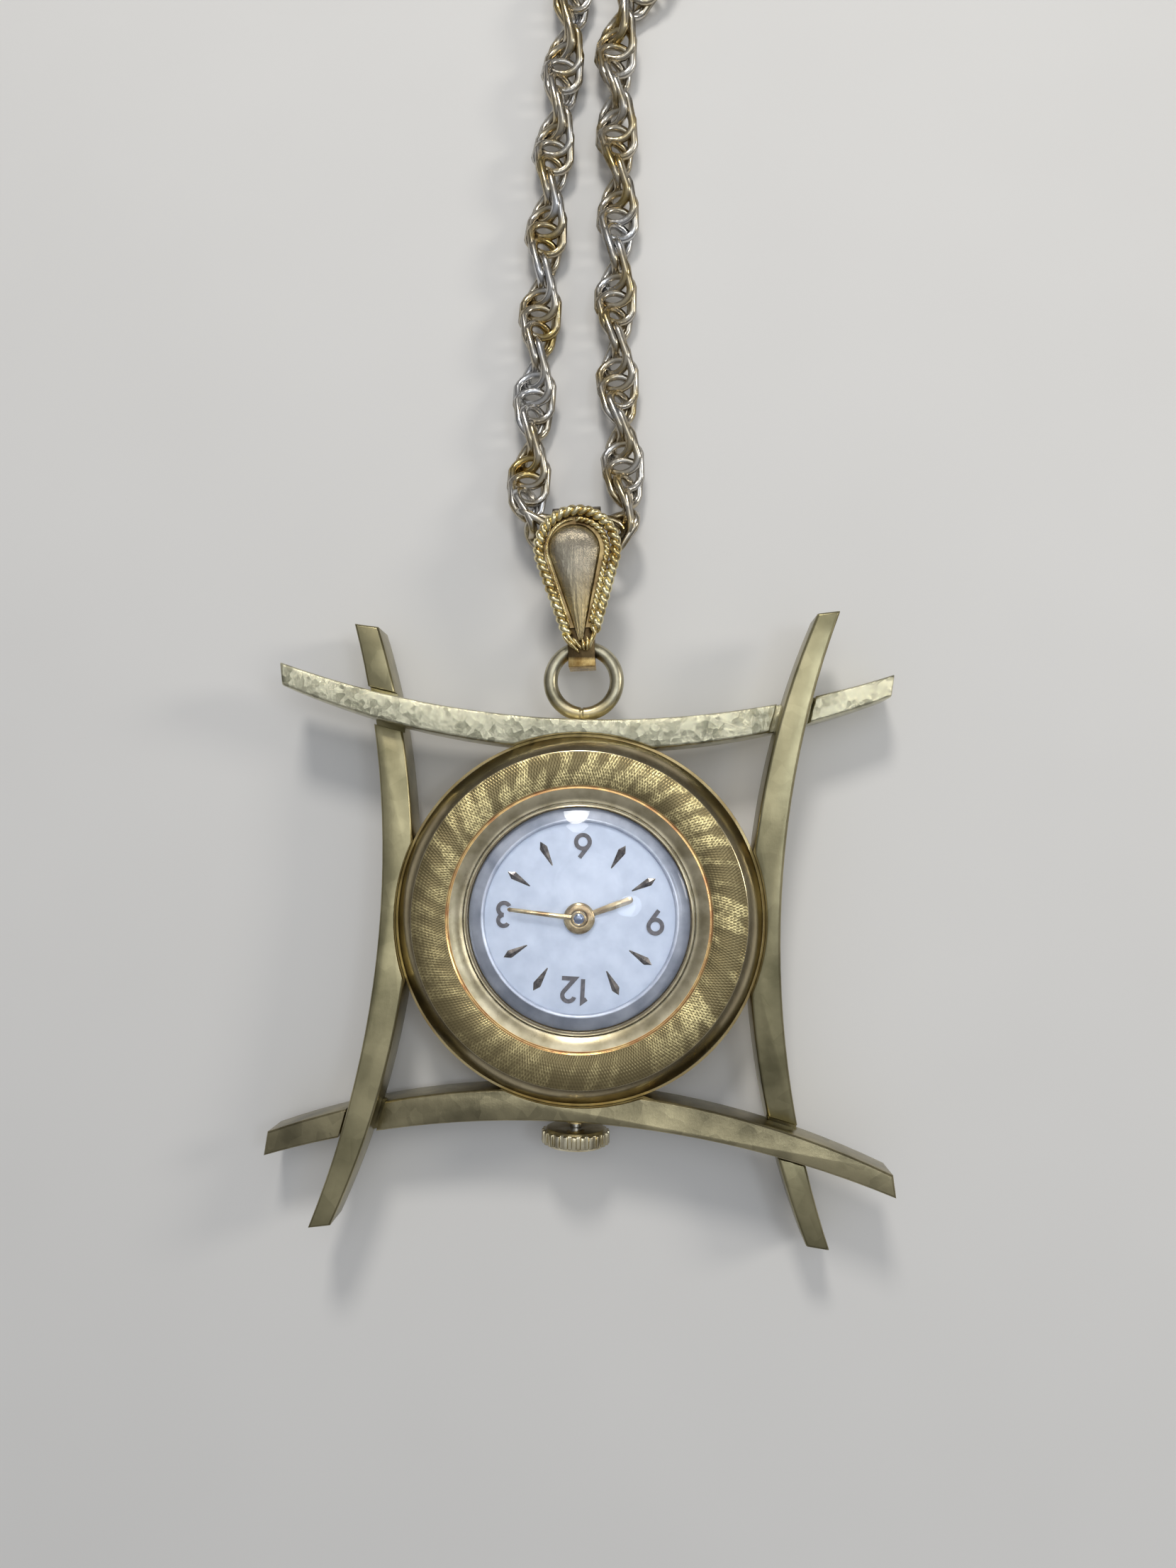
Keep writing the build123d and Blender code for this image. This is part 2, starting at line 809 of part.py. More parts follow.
clutch_hole = square_outline(square_side + 2 * run_gap)
clutch_wheel = along_stem(
    (
        (
            disc_outline(clutch_radius) - clutch_hole,
            clutch_inner,
            clutch_middle - clutch_groove / 2,
        ),
        (disc_outline(clutch_groove_radius) - clutch_hole, clutch_inner, clutch_outer),
        (
            disc_outline(clutch_radius) - clutch_hole,
            clutch_middle + clutch_groove / 2,
            clutch_outer,
        ),
    )
)
save(clutch_wheel, "clutch_wheel")

crown_seat = 0.4  # how deep the stem is screwed into the crown
stem = along_stem(
    (
        (square_outline(square_side), stem_inner, pinion_inner),
        (disc_outline(pinion_bore - run_gap), pinion_inner, pinion_outer + pinion_gap),
        (
            disc_outline(stem_radius),
            pinion_outer + pinion_gap,
            stem_groove_middle - stem_groove / 2,
        ),
        (disc_outline(stem_groove_radius), pinion_outer, stem_groove_middle + stem_groove),
        (
            disc_outline(stem_radius),
            stem_groove_middle + stem_groove / 2,
            crown_inner + crown_seat,
        ),
    )
)
save(stem, "stem")

rib_radius = crown_radius - crown_rib_depth
rib_width = math.pi * crown_radius / crown_ribs
with BuildPart() as crown:
    with BuildSketch(stem_plane(crown_inner)):
        Circle(rib_radius)
    extrude(amount=crown_outer - crown_inner)
    chamfer(crown.edges().filter_by(GeomType.CIRCLE), crown_edge)
    with BuildSketch(stem_plane(crown_inner + crown_edge)):
        with PolarLocations(rib_radius, crown_ribs):
            Rectangle(2 * crown_rib_depth, rib_width)
    extrude(amount=crown_outer - crown_inner - 2 * crown_edge)
    with BuildSketch(stem_plane(crown_inner - cut_over)):
        Circle(stem_radius + slip)
    extrude(amount=cut_over + crown_seat + slip, mode=Mode.SUBTRACT)
save(crown, "crown")


def arm_outline(start, start_radius, end, end_radius):
    # a flat arm: two round ends joined by straight sides
    with BuildSketch() as outline:
        with Locations(start):
            Circle(start_radius)
        with Locations(end):
            Circle(end_radius)
        make_hull()
    return outline.sketch


# Setting lever and yoke on the dial side, each with a pin that reaches down to the stem
lever_low = plate_top + dial_side_gap
lever_thick = 0.15
lever_post_radius = 0.1
lever_boss = 0.27
lever_reach = 1.55
lever_pin_radius = 0.1
lever_eye_radius = 0.16
lever_pin_place = (0, -stem_groove_middle)
lever_place = (lever_reach, -stem_groove_middle - crown_pull / 2)
clutch_travel = 0.4
yoke_reach = 2.0
yoke_pin_place = (0, -clutch_middle)
yoke_place = (-yoke_reach, -clutch_middle + clutch_travel / 2)


def lever_piece(place, pin_place, groove_radius):
    pin_low = stem_height + groove_radius + 2 * run_gap
    plate = arm_outline(place, lever_boss, pin_place, lever_eye_radius)
    with BuildPart() as piece:
        with BuildSketch(Plane.XY.offset(lever_low)):
            add(plate)
            with Locations(place):
                Circle(lever_post_radius + run_gap, mode=Mode.SUBTRACT)
        extrude(amount=lever_thick)
        with BuildSketch(Plane.XY.offset(pin_low)):
            with Locations(pin_place):
                Circle(lever_pin_radius)
        extrude(amount=lever_low + lever_thick - pin_low)
    return piece


setting_lever = lever_piece(lever_place, lever_pin_place, stem_groove_radius)
save(setting_lever, "setting_lever")
yoke = lever_piece(yoke_place, yoke_pin_place, clutch_groove_radius)
save(yoke, "yoke")

# Click and its spring, on the barrel bridge beside the ratchet wheel
ratchet_tip = winding_module * (ratchet_teeth / 2 + addendum_share)
click_radius = 0.35
click_post_radius = 0.15
click_turn = 88  # degrees round the barrel
click_tip_turn = 66
click_stand_share = 2.4  # of the click's radius, out from the ratchet's tips
click_tip_share = 0.55
click_nose_share = 0.3
click_place = polar(ratchet_tip + click_stand_share * click_radius, click_turn, barrel_place)
click_tip = polar(ratchet_tip + click_tip_share * click_radius, click_tip_turn, barrel_place)
with BuildPart() as click:
    with BuildSketch(Plane.XY.offset(winding_low)):
        add(arm_outline(click_place, click_radius, click_tip, click_nose_share * click_radius))
        with Locations(click_place):
            Circle(click_post_radius + run_gap, mode=Mode.SUBTRACT)
    extrude(amount=winding_thick)
save(click, "click")

click_spring_width = 0.14
click_spring_foot = 0.3
click_spring_length = 1.9
click_spring_turn = 160
click_spring_place = polar(click_spring_length, click_spring_turn, click_place)
with BuildPart() as click_spring:
    with BuildSketch(Plane.XY.offset(winding_low)):
        add(
            arm_outline(
                click_spring_place,
                click_spring_foot,
                polar(click_radius + click_spring_width, 150, click_place),
                click_spring_width / 2,
            )
        )
    extrude(amount=bridge_bottom - winding_low)
save(click_spring, "click_spring")

# Escapement
pallet_low = fourth_low + pinion_over
pallet_thick = 0.12
pallet_pivot = 0.06
pallet_turn = bearing(pallet_place, balance_place)
pallet_reach = math.dist(pallet_place, balance_place)
roller_pin_reach = 0.35
roller_pin_radius = 0.05
fork_end = pallet_reach - roller_pin_reach - roller_pin_radius - 2 * run_gap
fork_width = 0.14
fork_span = 0.42
stone_radius = 0.07
pallet_boss = 0.2
stone_gap = 0.08
stone_distance = escape_radius + stone_gap + stone_radius + run_gap
stone_turns = (-32, 32)
pallet_side = bearing(escape_place, pallet_place)
pallet_plane = Plane(
    origin=(pallet_place[0], pallet_place[1], pallet_low),
    x_dir=(math.cos(math.radians(pallet_turn)), math.sin(math.radians(pallet_turn)), 0),
    z_dir=(0, 0, 1),
)
pallet_arms = [
    arm_outline(
        pallet_place, pallet_boss, polar(stone_distance, pallet_side + turn, escape_place), stone_radius
    )
    for turn in stone_turns
]
with BuildPart() as pallet_fork:
    with BuildSketch(pallet_plane):
        with Locations((fork_end / 2, 0)):
            Rectangle(fork_end, fork_width)
        with Locations((fork_end - fork_width / 2, 0)):
            Rectangle(fork_width, fork_span)
    extrude(amount=pallet_thick)
    with BuildSketch(Plane.XY.offset(pallet_low)):
        add(pallet_arms)
    extrude(amount=pallet_thick)
    with BuildSketch(Plane.XY.offset(escape_low)):
        for turn in stone_turns:
            with Locations(polar(stone_distance, pallet_side + turn, escape_place)):
                Circle(stone_radius)
    extrude(amount=pallet_low + pallet_thick - escape_low)
    with BuildSketch(level(pallet_place, arbor_low)):
        Circle(arbor_radius / 2)
    extrude(amount=arbor_high - arbor_low)
    with BuildSketch(level(pallet_place, bridge_top - pivot_reach / 2)):
        Circle(pallet_pivot)
    extrude(amount=plate_bottom + pivot_reach - bridge_top + pivot_reach / 2)
save(pallet_fork, "pallet_fork")

balance_rise = 0.17
balance_low = barrel_low + balance_rise
balance_thick = 0.2
balance_arm = 0.2
balance_staff = 0.12
roller_radius = 0.42
roller_thick = 0.1
roller_low = pallet_low + pallet_thick + level_gap
hairspring_low = bridge_top + run_gap
hairspring_turns = 5
hairspring_inner = 0.25
hairspring_pitch = 0.18
hairspring_thick = 0.05
hairspring_height = 0.1
balance_turn = bearing(balance_place, pallet_place)
with BuildPart() as balance_wheel:
    with BuildSketch(level(balance_place, balance_low)):
        Circle(balance_radius)
        Circle(balance_radius - balance_rim, mode=Mode.SUBTRACT)
        Rectangle(2 * balance_radius - balance_rim, balance_arm)
        Circle(2 * balance_staff)
    extrude(amount=balance_thick)
    with BuildSketch(level(balance_place, roller_low)):
        Circle(roller_radius)
    extrude(amount=roller_thick)
    with BuildSketch(level(balance_place, pallet_low)):
        with Locations(polar(roller_pin_reach, balance_turn)):
            Circle(roller_pin_radius)
    extrude(amount=roller_low + roller_thick - pallet_low)
    with BuildSketch(level(balance_place, arbor_low)):
        Circle(balance_staff)
    extrude(amount=arbor_high - arbor_low)
    with BuildSketch(level(balance_place, bridge_top - pivot_reach)):
        Circle(pallet_pivot)
    extrude(amount=plate_bottom + 2 * pivot_reach - bridge_top)
save(balance_wheel, "balance_wheel")

hairspring = stacked(
    balance_place,
    (
        (
            spiral_sketch(
                hairspring_inner, hairspring_pitch, 2 * hairspring_turns, hairspring_thick
            ),
            hairspring_low,
            hairspring_low + hairspring_height,
        ),
        (
            disc_outline(hairspring_inner + hairspring_thick / 2, balance_staff + slip),
            hairspring_low,
            hairspring_low + hairspring_height,
        ),
    ),
)
save(hairspring, "hairspring")

# Plates. Pillars and screws stand where the bridges reach past the wheels.
pillar_shares = {  # of the plate's radius
    "barrel": ((-0.69, 0.48), (-0.36, -0.8)),
    "train": ((-0.06, 0.79), (0.83, 0.4)),
    "cock": ((0.84, -0.427),),
    "pallet": ((0.827, -0.233),),
}
pillar_places = {
    kind: tuple((x_share * plate_radius, y_share * plate_radius) for x_share, y_share in shares)
    for kind, shares in pillar_shares.items()
}
pillar_radii = {"barrel": 0.75, "train": 0.6, "cock": 0.7, "pallet": 0.36}
screw_radius = 0.16
screw_head = 0.36
screw_head_thick = 0.22
screw_reach = 0.3  # into the main plate
screw_slot = 0.1
jewel_radius = 0.34
jewel_thick = 0.2
dial_foot_radius = 0.15
dial_foot_shares = (0.88, 0.9)  # of the plate's radius
dial_foot_turns = (150, -28)
dial_foot_places = tuple(
    polar(share * plate_radius, turn) for share, turn in zip(dial_foot_shares, dial_foot_turns)
)
cavity_half = 0.75
cavity_depth = 0.8
cavity_start = 3.15  # from the case axis to the inner end of the stem's cavity
pocket_radius = 0.75
pocket_floor = setting_low - level_gap

screw_places = [place for places in pillar_places.values() for place in places]
train_holes = (
    (centre_place, cannon_bore - slip),
    (third_place, pivot_radius),
    (fourth_place, pivot_radius),
    (escape_place, pivot_radius),
)

with BuildPart() as mainplate:
    with BuildSketch(Plane.XY.offset(plate_bottom)):
        Circle(plate_radius)
        for hole_place, hole_radius in train_holes:
            with Locations(hole_place):
                Circle(hole_radius + run_gap, mode=Mode.SUBTRACT)
        with Locations(balance_place, pallet_place):
            Circle(pallet_pivot + run_gap, mode=Mode.SUBTRACT)
        with Locations(barrel_place):
            Circle(barrel_arbor_radius + run_gap, mode=Mode.SUBTRACT)
        with Locations(*screw_places):
            Circle(screw_radius + slip, mode=Mode.SUBTRACT)
        with Locations(*dial_foot_places):
            Circle(dial_foot_radius + slip, mode=Mode.SUBTRACT)
    extrude(amount=plate_top - plate_bottom)
    # the cavity for the clutch and the winding pinion
    with BuildSketch(Plane.XY.offset(plate_bottom)):
        with Locations((0, -cavity_start)):
            Rectangle(2 * cavity_half, plate_radius, align=(Align.CENTER, Align.MAX))
    extrude(amount=cavity_depth, mode=Mode.SUBTRACT)
    # the pocket of the setting wheel, and the slots for the pins of the lever and the yoke
    with BuildSketch(Plane.XY.offset(pocket_floor)):
        with Locations(setting_place):
            Circle(pocket_radius)
    extrude(amount=plate_top, mode=Mode.SUBTRACT)
    with BuildSketch(Plane.XY.offset(plate_bottom)):
        with Locations((0, lever_pin_place[1] - crown_pull / 2)):
            SlotOverall(crown_pull + 6 * lever_pin_radius, 4 * lever_pin_radius, rotation=90)
        with Locations((0, yoke_pin_place[1] + clutch_travel / 2)):
            SlotOverall(clutch_travel + 6 * lever_pin_radius, 4 * lever_pin_radius, rotation=90)
    extrude(amount=plate_top, mode=Mode.SUBTRACT)
    # posts of the dial side
    with BuildSketch(Plane.XY.offset(pocket_floor - level_gap)):
        with Locations(setting_place):
            Circle(setting_post_radius)
    extrude(amount=minute_wheel_high - pocket_floor + 2 * level_gap)
    with BuildSketch(Plane.XY.offset(plate_top)):
        with Locations(minute_place):
            Circle(motion_post_radius)
        with Locations(lever_place, yoke_place):
            Circle(lever_post_radius)
    extrude(amount=hour_wheel_high - plate_top)
save(mainplate, "mainplate")


def bridge_piece(corners, kind, holes):
    # a bridge cut from the plate's disc, its pillars down to the main plate and its holes
    with BuildPart() as piece:
        with BuildSketch(Plane.XY.offset(bridge_bottom)):
            with BuildLine():
                Polyline(*[(bridge_radius * x, bridge_radius * y) for x, y in corners], close=True)
            make_face()
            Circle(bridge_radius, mode=Mode.INTERSECT)
        extrude(amount=bridge_top - bridge_bottom)
        with BuildSketch(Plane.XY.offset(bridge_top)):
            with Locations(*pillar_places[kind]):
                Circle(pillar_radii[kind])
            Circle(bridge_radius, mode=Mode.INTERSECT)
        extrude(amount=plate_bottom - bridge_top)
        with BuildSketch(Plane.XY.offset(bridge_bottom)):
            with Locations(*pillar_places[kind]):
                Circle(screw_radius + slip)
            for place, radius in holes:
                with Locations(place):
                    Circle(radius)
        extrude(amount=plate_bottom - bridge_bottom, mode=Mode.SUBTRACT)
    return piece


barrel_corner_shares = (
    (-1.1, -1.1),
    (0.19, -1.1),
    (0.19, -0.34),
    (-0.1, -0.15),
    (-0.13, 0.08),
    (-0.27, 0.43),
    (-0.27, 0.6),
    (-1.1, 0.6),
)
train_corner_shares = (
    (-0.075, -0.115),
    (0.1, -0.15),
    (1.1, -0.155),
    (1.1, 1.1),
    (-0.24, 1.1),
    (-0.24, 0.43),
    (-0.1, 0.08),
)
jewel_seat = jewel_radius + slip
barrel_bridge = bridge_piece(
    barrel_corner_shares,
    "barrel",
    (
        (barrel_place, barrel_arbor_radius + run_gap),
        (crown_wheel_place, crown_teeth_radius + run_gap),
    ),
)
save(barrel_bridge, "barrel_bridge")
train_bridge = bridge_piece(
    train_corner_shares,
    "train",
    (
        (centre_place, cannon_bore - slip + run_gap),
        (third_place, jewel_seat),
        (fourth_place, jewel_seat),
        (escape_place, jewel_seat),
    ),
)
save(train_bridge, "train_bridge")


def cock_piece(place, kind, head_radius, low, seat):
    # a bridge on a single foot
    foot = pillar_places[kind][0]
    with BuildPart() as piece:
        with BuildSketch(Plane.XY.offset(low)):
            add(arm_outline(place, head_radius, foot, pillar_radii[kind]))
            Circle(bridge_radius, mode=Mode.INTERSECT)
        extrude(amount=bridge_top - level_gap - low)
        with BuildSketch(Plane.XY.offset(low)):
            with Locations(foot):
                Circle(pillar_radii[kind])
            Circle(bridge_radius, mode=Mode.INTERSECT)
        extrude(amount=plate_bottom - low)
        with BuildSketch(Plane.XY.offset(low)):
            with Locations(place):
                Circle(seat)
            with Locations(foot):
                Circle(screw_radius + slip)
        extrude(amount=plate_bottom - low, mode=Mode.SUBTRACT)
    return piece


cock_end_radius = 0.7
balance_cock = cock_piece(balance_place, "cock", cock_end_radius, bridge_bottom, jewel_seat)
save(balance_cock, "balance_cock")
pallet_bridge_thick = 0.35
pallet_bridge_end = 0.3
pallet_bridge_low = bridge_top - pallet_bridge_thick
pallet_bridge = cock_piece(
    pallet_place, "pallet", pallet_bridge_end, pallet_bridge_low, pallet_pivot + run_gap
)
save(pallet_bridge, "pallet_bridge")

jewel_low = bridge_top - jewel_thick - pivot_reach / 2
with BuildPart() as jewels:
    for jewel_place, hole_radius in (
        (third_place, pivot_radius),
        (fourth_place, pivot_radius),
        (escape_place, pivot_radius),
        (balance_place, pallet_pivot),
    ):
        with BuildSketch(level(jewel_place, jewel_low)):
            Circle(jewel_radius)
            Circle(hole_radius + run_gap, mode=Mode.SUBTRACT)
        extrude(amount=jewel_thick)
save(jewels, "jewels")

with BuildPart() as bridge_screws:
    for kind, places in pillar_places.items():
        head_low = pallet_bridge_low if kind == "pallet" else bridge_bottom
        for screw_place in places:
            with BuildSketch(level(screw_place, head_low - screw_head_thick)):
                Circle(screw_head)
            extrude(amount=screw_head_thick)
            with BuildSketch(level(screw_place, head_low)):
                Circle(screw_radius)
            extrude(amount=plate_bottom + screw_reach - head_low)
            with BuildSketch(level(screw_place, head_low - screw_head_thick)):
                Rectangle(2 * screw_head + slip, screw_slot)
            extrude(amount=screw_head_thick / 2, mode=Mode.SUBTRACT)
save(bridge_screws, "bridge_screws")

ring_inner = plate_radius + slip
ring_lip = 7.0
lever_out_place = (0, -stem_groove_middle - crown_pull)
with BuildPart() as movement_ring:
    with BuildSketch(Plane.XZ):
        with BuildLine():
            Polyline(
                (ring_inner, plate_bottom),
                (case_bore - run_gap, plate_bottom),
                (case_bore - run_gap, dial_bottom),
                (ring_lip, dial_bottom),
                (ring_lip, plate_top),
                (ring_inner, plate_top),
                close=True,
            )
        make_face()
    revolve(axis=Axis.Z)
    with BuildSketch(stem_plane(plate_radius - cut_over)):
        Rectangle(2 * tube_radius, 2 * tube_radius)
    extrude(amount=case_bore - plate_radius + 2 * cut_over, mode=Mode.SUBTRACT)
    # room for the end of the setting lever when the crown is out
    with BuildSketch(Plane.XY.offset(plate_top)):
        add(
            arm_outline(
                lever_place, lever_boss, lever_out_place, lever_eye_radius + 2 * run_gap
            )
        )
    extrude(amount=dial_bottom - plate_top, mode=Mode.SUBTRACT)
save(movement_ring, "movement_ring")

# Dial, with 12 towards the crown. Angles of the dial run clockwise, as the hours do.
dial_turn = -91.4  # direction of 12
marker_inner = 3.95
marker_outer = 5.75
marker_half = 0.22
marker_thick = 0.12
marker_belly_share = 0.8
numeral_height = 1.84
numeral_stroke = 0.28
numeral_thick = 0.05
numeral_reach = 4.8  # of 12 and 6
numeral_side_reach = 5.1  # of 3 and 9

with BuildPart() as dial:
    with BuildSketch(Plane.XY.offset(dial_bottom)):
        Circle(dial_radius)
        Circle(hour_pipe_radius + 2 * run_gap, mode=Mode.SUBTRACT)
    extrude(amount=dial_top - dial_bottom)
    with BuildSketch(Plane.XY.offset(dial_bottom)):
        with Locations(*dial_foot_places):
            Circle(dial_foot_radius)
    extrude(amount=-(dial_bottom - plate_bottom - cavity_depth))
save(dial, "dial")

with BuildPart() as dial_markers:
    for hour in (1, 2, 4, 5, 7, 8, 10, 11):
        with BuildSketch(turned_plane(dial_turn - 30 * hour, dial_top)):
            belly = marker_inner + marker_belly_share * (marker_outer - marker_inner)
            with BuildLine():
                Polyline(
                    (marker_inner, 0),
                    (belly, marker_half),
                    (marker_outer, 0),
                    (belly, -marker_half),
                    close=True,
                )
            make_face()
        extrude(amount=marker_thick)
save(dial_markers, "dial_markers")

# Strokes of the numerals in shares of their height: a run of points, a ring given by its centre
# and radius, or an arc given by its centre, radius, start angle and sweep
one_shares = (("run", (-0.12, 0.3), (0.03, 0.42), (0.03, -0.42)),)
two_shares = (
    ("arc", (0, 0.2), 0.22, 165, -205),
    ("run", (0.17, 0.06), (-0.22, -0.42), (0.26, -0.42)),
)
three_shares = (
    ("arc", (0, 0.22), 0.2, 150, -240),
    ("arc", (0, -0.2), 0.22, 90, -240),
)
six_shares = (
    ("ring", (0, -0.17), 0.25),
    ("run", (-0.2, -0.02), (0.1, 0.42)),
)


def numeral_sketch(strokes):
    with BuildSketch() as numeral:
        for kind, *rest in strokes:
            if kind == "ring":
                middle = (numeral_height * rest[0][0], numeral_height * rest[0][1])
                with Locations(middle):
                    Circle(numeral_height * rest[1] + numeral_stroke / 2)
                    Circle(numeral_height * rest[1] - numeral_stroke / 2, mode=Mode.SUBTRACT)
            if kind == "run":
                with BuildLine():
                    Polyline(*[(numeral_height * x, numeral_height * y) for x, y in rest])
                trace(line_width=numeral_stroke)
            if kind == "arc":
                middle = (numeral_height * rest[0][0], numeral_height * rest[0][1])
                with BuildLine():
                    CenterArc(middle, numeral_height * rest[1], rest[2], rest[3])
                trace(line_width=numeral_stroke)
    return numeral.sketch


def numeral_plane(hour, reach, shift=0, upside=False):
    # the plane of a numeral that stands upright for someone who reads the dial
    middle = polar(reach, dial_turn - 30 * hour)
    turn = math.radians(dial_turn - 90 + (180 if upside else 0))
    across = (math.cos(turn), math.sin(turn), 0)
    origin = (middle[0] + shift * across[0], middle[1] + shift * across[1], dial_top)
    return Plane(origin=origin, x_dir=across, z_dir=(0, 0, 1))


digit_space_share = 0.27
digit_space = digit_space_share * numeral_height
numeral_places = (
    (one_shares, numeral_plane(12, numeral_reach, -digit_space)),
    (two_shares, numeral_plane(12, numeral_reach, digit_space)),
    (three_shares, numeral_plane(3, numeral_side_reach)),
    (six_shares, numeral_plane(6, numeral_reach)),
    (six_shares, numeral_plane(9, numeral_side_reach, upside=True)),
)
numeral_sketches = [(numeral_sketch(strokes), plane) for strokes, plane in numeral_places]
with BuildPart() as dial_numerals:
    for sketch, plane in numeral_sketches:
        with BuildSketch(plane):
            add(sketch)
        extrude(amount=numeral_thick)
save(dial_numerals, "dial_numerals")

# Hands at a quarter past eight
minute_turn = 174.1
hour_turn = 21.0
minute_length = 4.83
minute_width = 0.33
minute_boss = 0.53
minute_boss_rise = 0.4
hour_length = 3.8
hour_width = 0.45
hour_boss = 1.05
hand_tip_share = 0.6


def hand_piece(turn, low, length, width, boss, boss_high, bore):
    half = width / 2
    tip = hand_tip_share * half
    with BuildPart() as piece:
        with BuildSketch(turned_plane(turn, low)):
            with BuildLine():
                Polyline((0, -half), (length, -tip), (length, tip), (0, half), close=True)
            make_face()
            Circle(boss)
        extrude(amount=hand_thick)
        with BuildSketch(turned_plane(turn, low)):
            Circle(boss)
        extrude(amount=boss_high)
        fillet(piece.faces().sort_by(Axis.Z)[-1].edges(), boss_high / 4)
        with BuildSketch(Plane.XY.offset(low)):
            Circle(bore + slip)
        extrude(amount=hand_thick, mode=Mode.SUBTRACT)
    return piece


minute_hand = hand_piece(
    minute_turn,
    minute_hand_low,
    minute_length,
    minute_width,
    minute_boss,
    minute_boss_rise,
    cannon_bore + cannon_wall,
)
save(minute_hand, "minute_hand")
with BuildPart() as hour_hand:
    with BuildSketch(turned_plane(hour_turn, hour_hand_low)):
        with BuildLine():
            Polyline(
                (0, -hour_width / 2),
                (hour_length, -hand_tip_share * hour_width / 2),
                (hour_length, hand_tip_share * hour_width / 2),
                (0, hour_width / 2),
                close=True,
            )
        make_face()
        Circle(hour_boss)
        Circle(hour_pipe_radius + slip, mode=Mode.SUBTRACT)
    extrude(amount=hand_thick)
save(hour_hand, "hour_hand")

# Jump ring, soldered to the outer edge of the top bar
ring_wire = 0.48  # radius of the wire
ring_mean = 2.24  # radius of the wire's middle line
ring_x = -0.12
ring_y = bar_outer + slip + ring_wire + ring_mean
with BuildPart() as jump_ring:
    with BuildSketch(Plane(origin=(ring_x, ring_y, bar_rise), x_dir=(1, 0, 0), z_dir=(0, -1, 0))):
        with Locations((ring_mean, 0)):
            Circle(ring_wire)
    revolve(axis=Axis((ring_x, ring_y, bar_rise), (0, 0, 1)))
save(jump_ring, "jump_ring")

# Bail: a strap folded round the ring and the chain, with a teardrop and a rope border on its
# front. Its own frame starts at the ring's wire, v runs up the bail and h out of the dial.
bail_x = -0.3
bail_y = ring_y + ring_mean
bail_lean = 3.5
eye_bore = 0.6  # radius in the middle, wider towards both sides for the curve of the ring
eye_knee = 0.66
eye_knee_reach = 0.6
eye_mouth = 1.04
eye_mouth_reach = 1.3
strap_thick = 0.3
strap_front = 1.0  # h of the strap's front face
strap_tab = 1.4  # the fold ends this far below the ring's wire
strap_width = 3.3
strap_neck = 1.8  # width at the ring
fold_v = 7.89  # v of the fold's centre
fold_radius = 2.075
strap_back = strap_front - 2 * fold_radius
back_foot_v = 4.6  # where the back of the strap starts to rise to the ring
eye_end_v = 0.95
fold_h = strap_front - fold_radius
eye_u = ring_x - bail_x
bail_turn = math.radians(bail_lean)
bail_across = (math.cos(bail_turn), math.sin(bail_turn), 0)
bail_along = (-math.sin(bail_turn), math.cos(bail_turn), 0)


def bail_plane(h):
    return Plane(origin=(bail_x, bail_y, bar_rise + h), x_dir=bail_across, z_dir=(0, 0, 1))


bail_side = Plane(origin=(bail_x, bail_y, bar_rise), x_dir=bail_along, z_dir=bail_across)
with BuildPart() as bail_strap:
    with BuildSketch(bail_side):
        with BuildLine():
            Line((-strap_tab, strap_front), (fold_v, strap_front))
            ThreePointArc(
                (fold_v, strap_front), (fold_v + fold_radius, fold_h), (fold_v, strap_back)
            )
            Polyline(
                (fold_v, strap_back),
                (back_foot_v, strap_back),
                (eye_end_v, -strap_front),
                (-strap_tab, -strap_front),
                (-strap_tab, strap_front),
            )
        make_face()
        inner_radius = fold_radius - strap_thick
        inner_front = strap_front - strap_thick
        inner_back = strap_back + strap_thick
        with BuildLine():
            Line((eye_end_v + strap_thick, inner_front), (fold_v, inner_front))
            ThreePointArc(
                (fold_v, inner_front), (fold_v + inner_radius, fold_h), (fold_v, inner_back)
            )
            Polyline(
                (fold_v, inner_back),
                (back_foot_v + strap_thick / 2, inner_back),
                (eye_end_v + strap_thick, -inner_front),
                (eye_end_v + strap_thick, inner_front),
            )
        make_face(mode=Mode.SUBTRACT)
    extrude(amount=strap_width / 2, both=True)
    with BuildSketch(bail_plane(strap_back - cut_over)):
        with BuildLine():
            Polyline(
                (-strap_neck / 2, -strap_tab - cut_over),
                (strap_neck / 2, -strap_tab - cut_over),
                (strap_neck / 2, eye_end_v),
                (strap_width / 2, back_foot_v),
                (strap_width / 2, fold_v + fold_radius + cut_over),
                (-strap_width / 2, fold_v + fold_radius + cut_over),
                (-strap_width / 2, back_foot_v),
                (-strap_neck / 2, eye_end_v),
                close=True,
            )
        make_face()
    extrude(amount=2 * (fold_radius + cut_over), mode=Mode.INTERSECT)
    with BuildSketch(bail_plane(0)):
        with BuildLine():
            Polyline(
                (eye_u - eye_mouth_reach, 0),
                (eye_u - eye_mouth_reach, eye_mouth),
                (eye_u - eye_knee_reach, eye_knee),
                (eye_u, eye_bore),
                (eye_u + eye_knee_reach, eye_knee),
                (eye_u + eye_mouth_reach, eye_mouth),
                (eye_u + eye_mouth_reach, 0),
                close=True,
            )
        make_face()
    revolve(axis=Axis((bail_x, bail_y, bar_rise), bail_across), mode=Mode.SUBTRACT)
save(bail_strap, "bail_strap")

# Teardrops: a large round end up the bail and a small one at its tip
tear_v = 6.5
tear_radius = 3.0
tear_tip_v = 0.6
tear_tip_radius = 1.1
rope_width = 0.8
rope_height = 0.8
rope_step = 0.15
dome_rim = 0.25
dome_height = 1.05


def tear_outline(inset):
    # the teardrop's outline drawn in by inset all round, its tip a little further
    left_share = 1 - inset / tear_radius
    tip_v = tear_v - (tear_v - tear_tip_v) * (left_share + 1) / 2
    return arm_outline((0, tear_v), tear_radius - inset, (0, tip_v), tear_tip_radius * left_share)


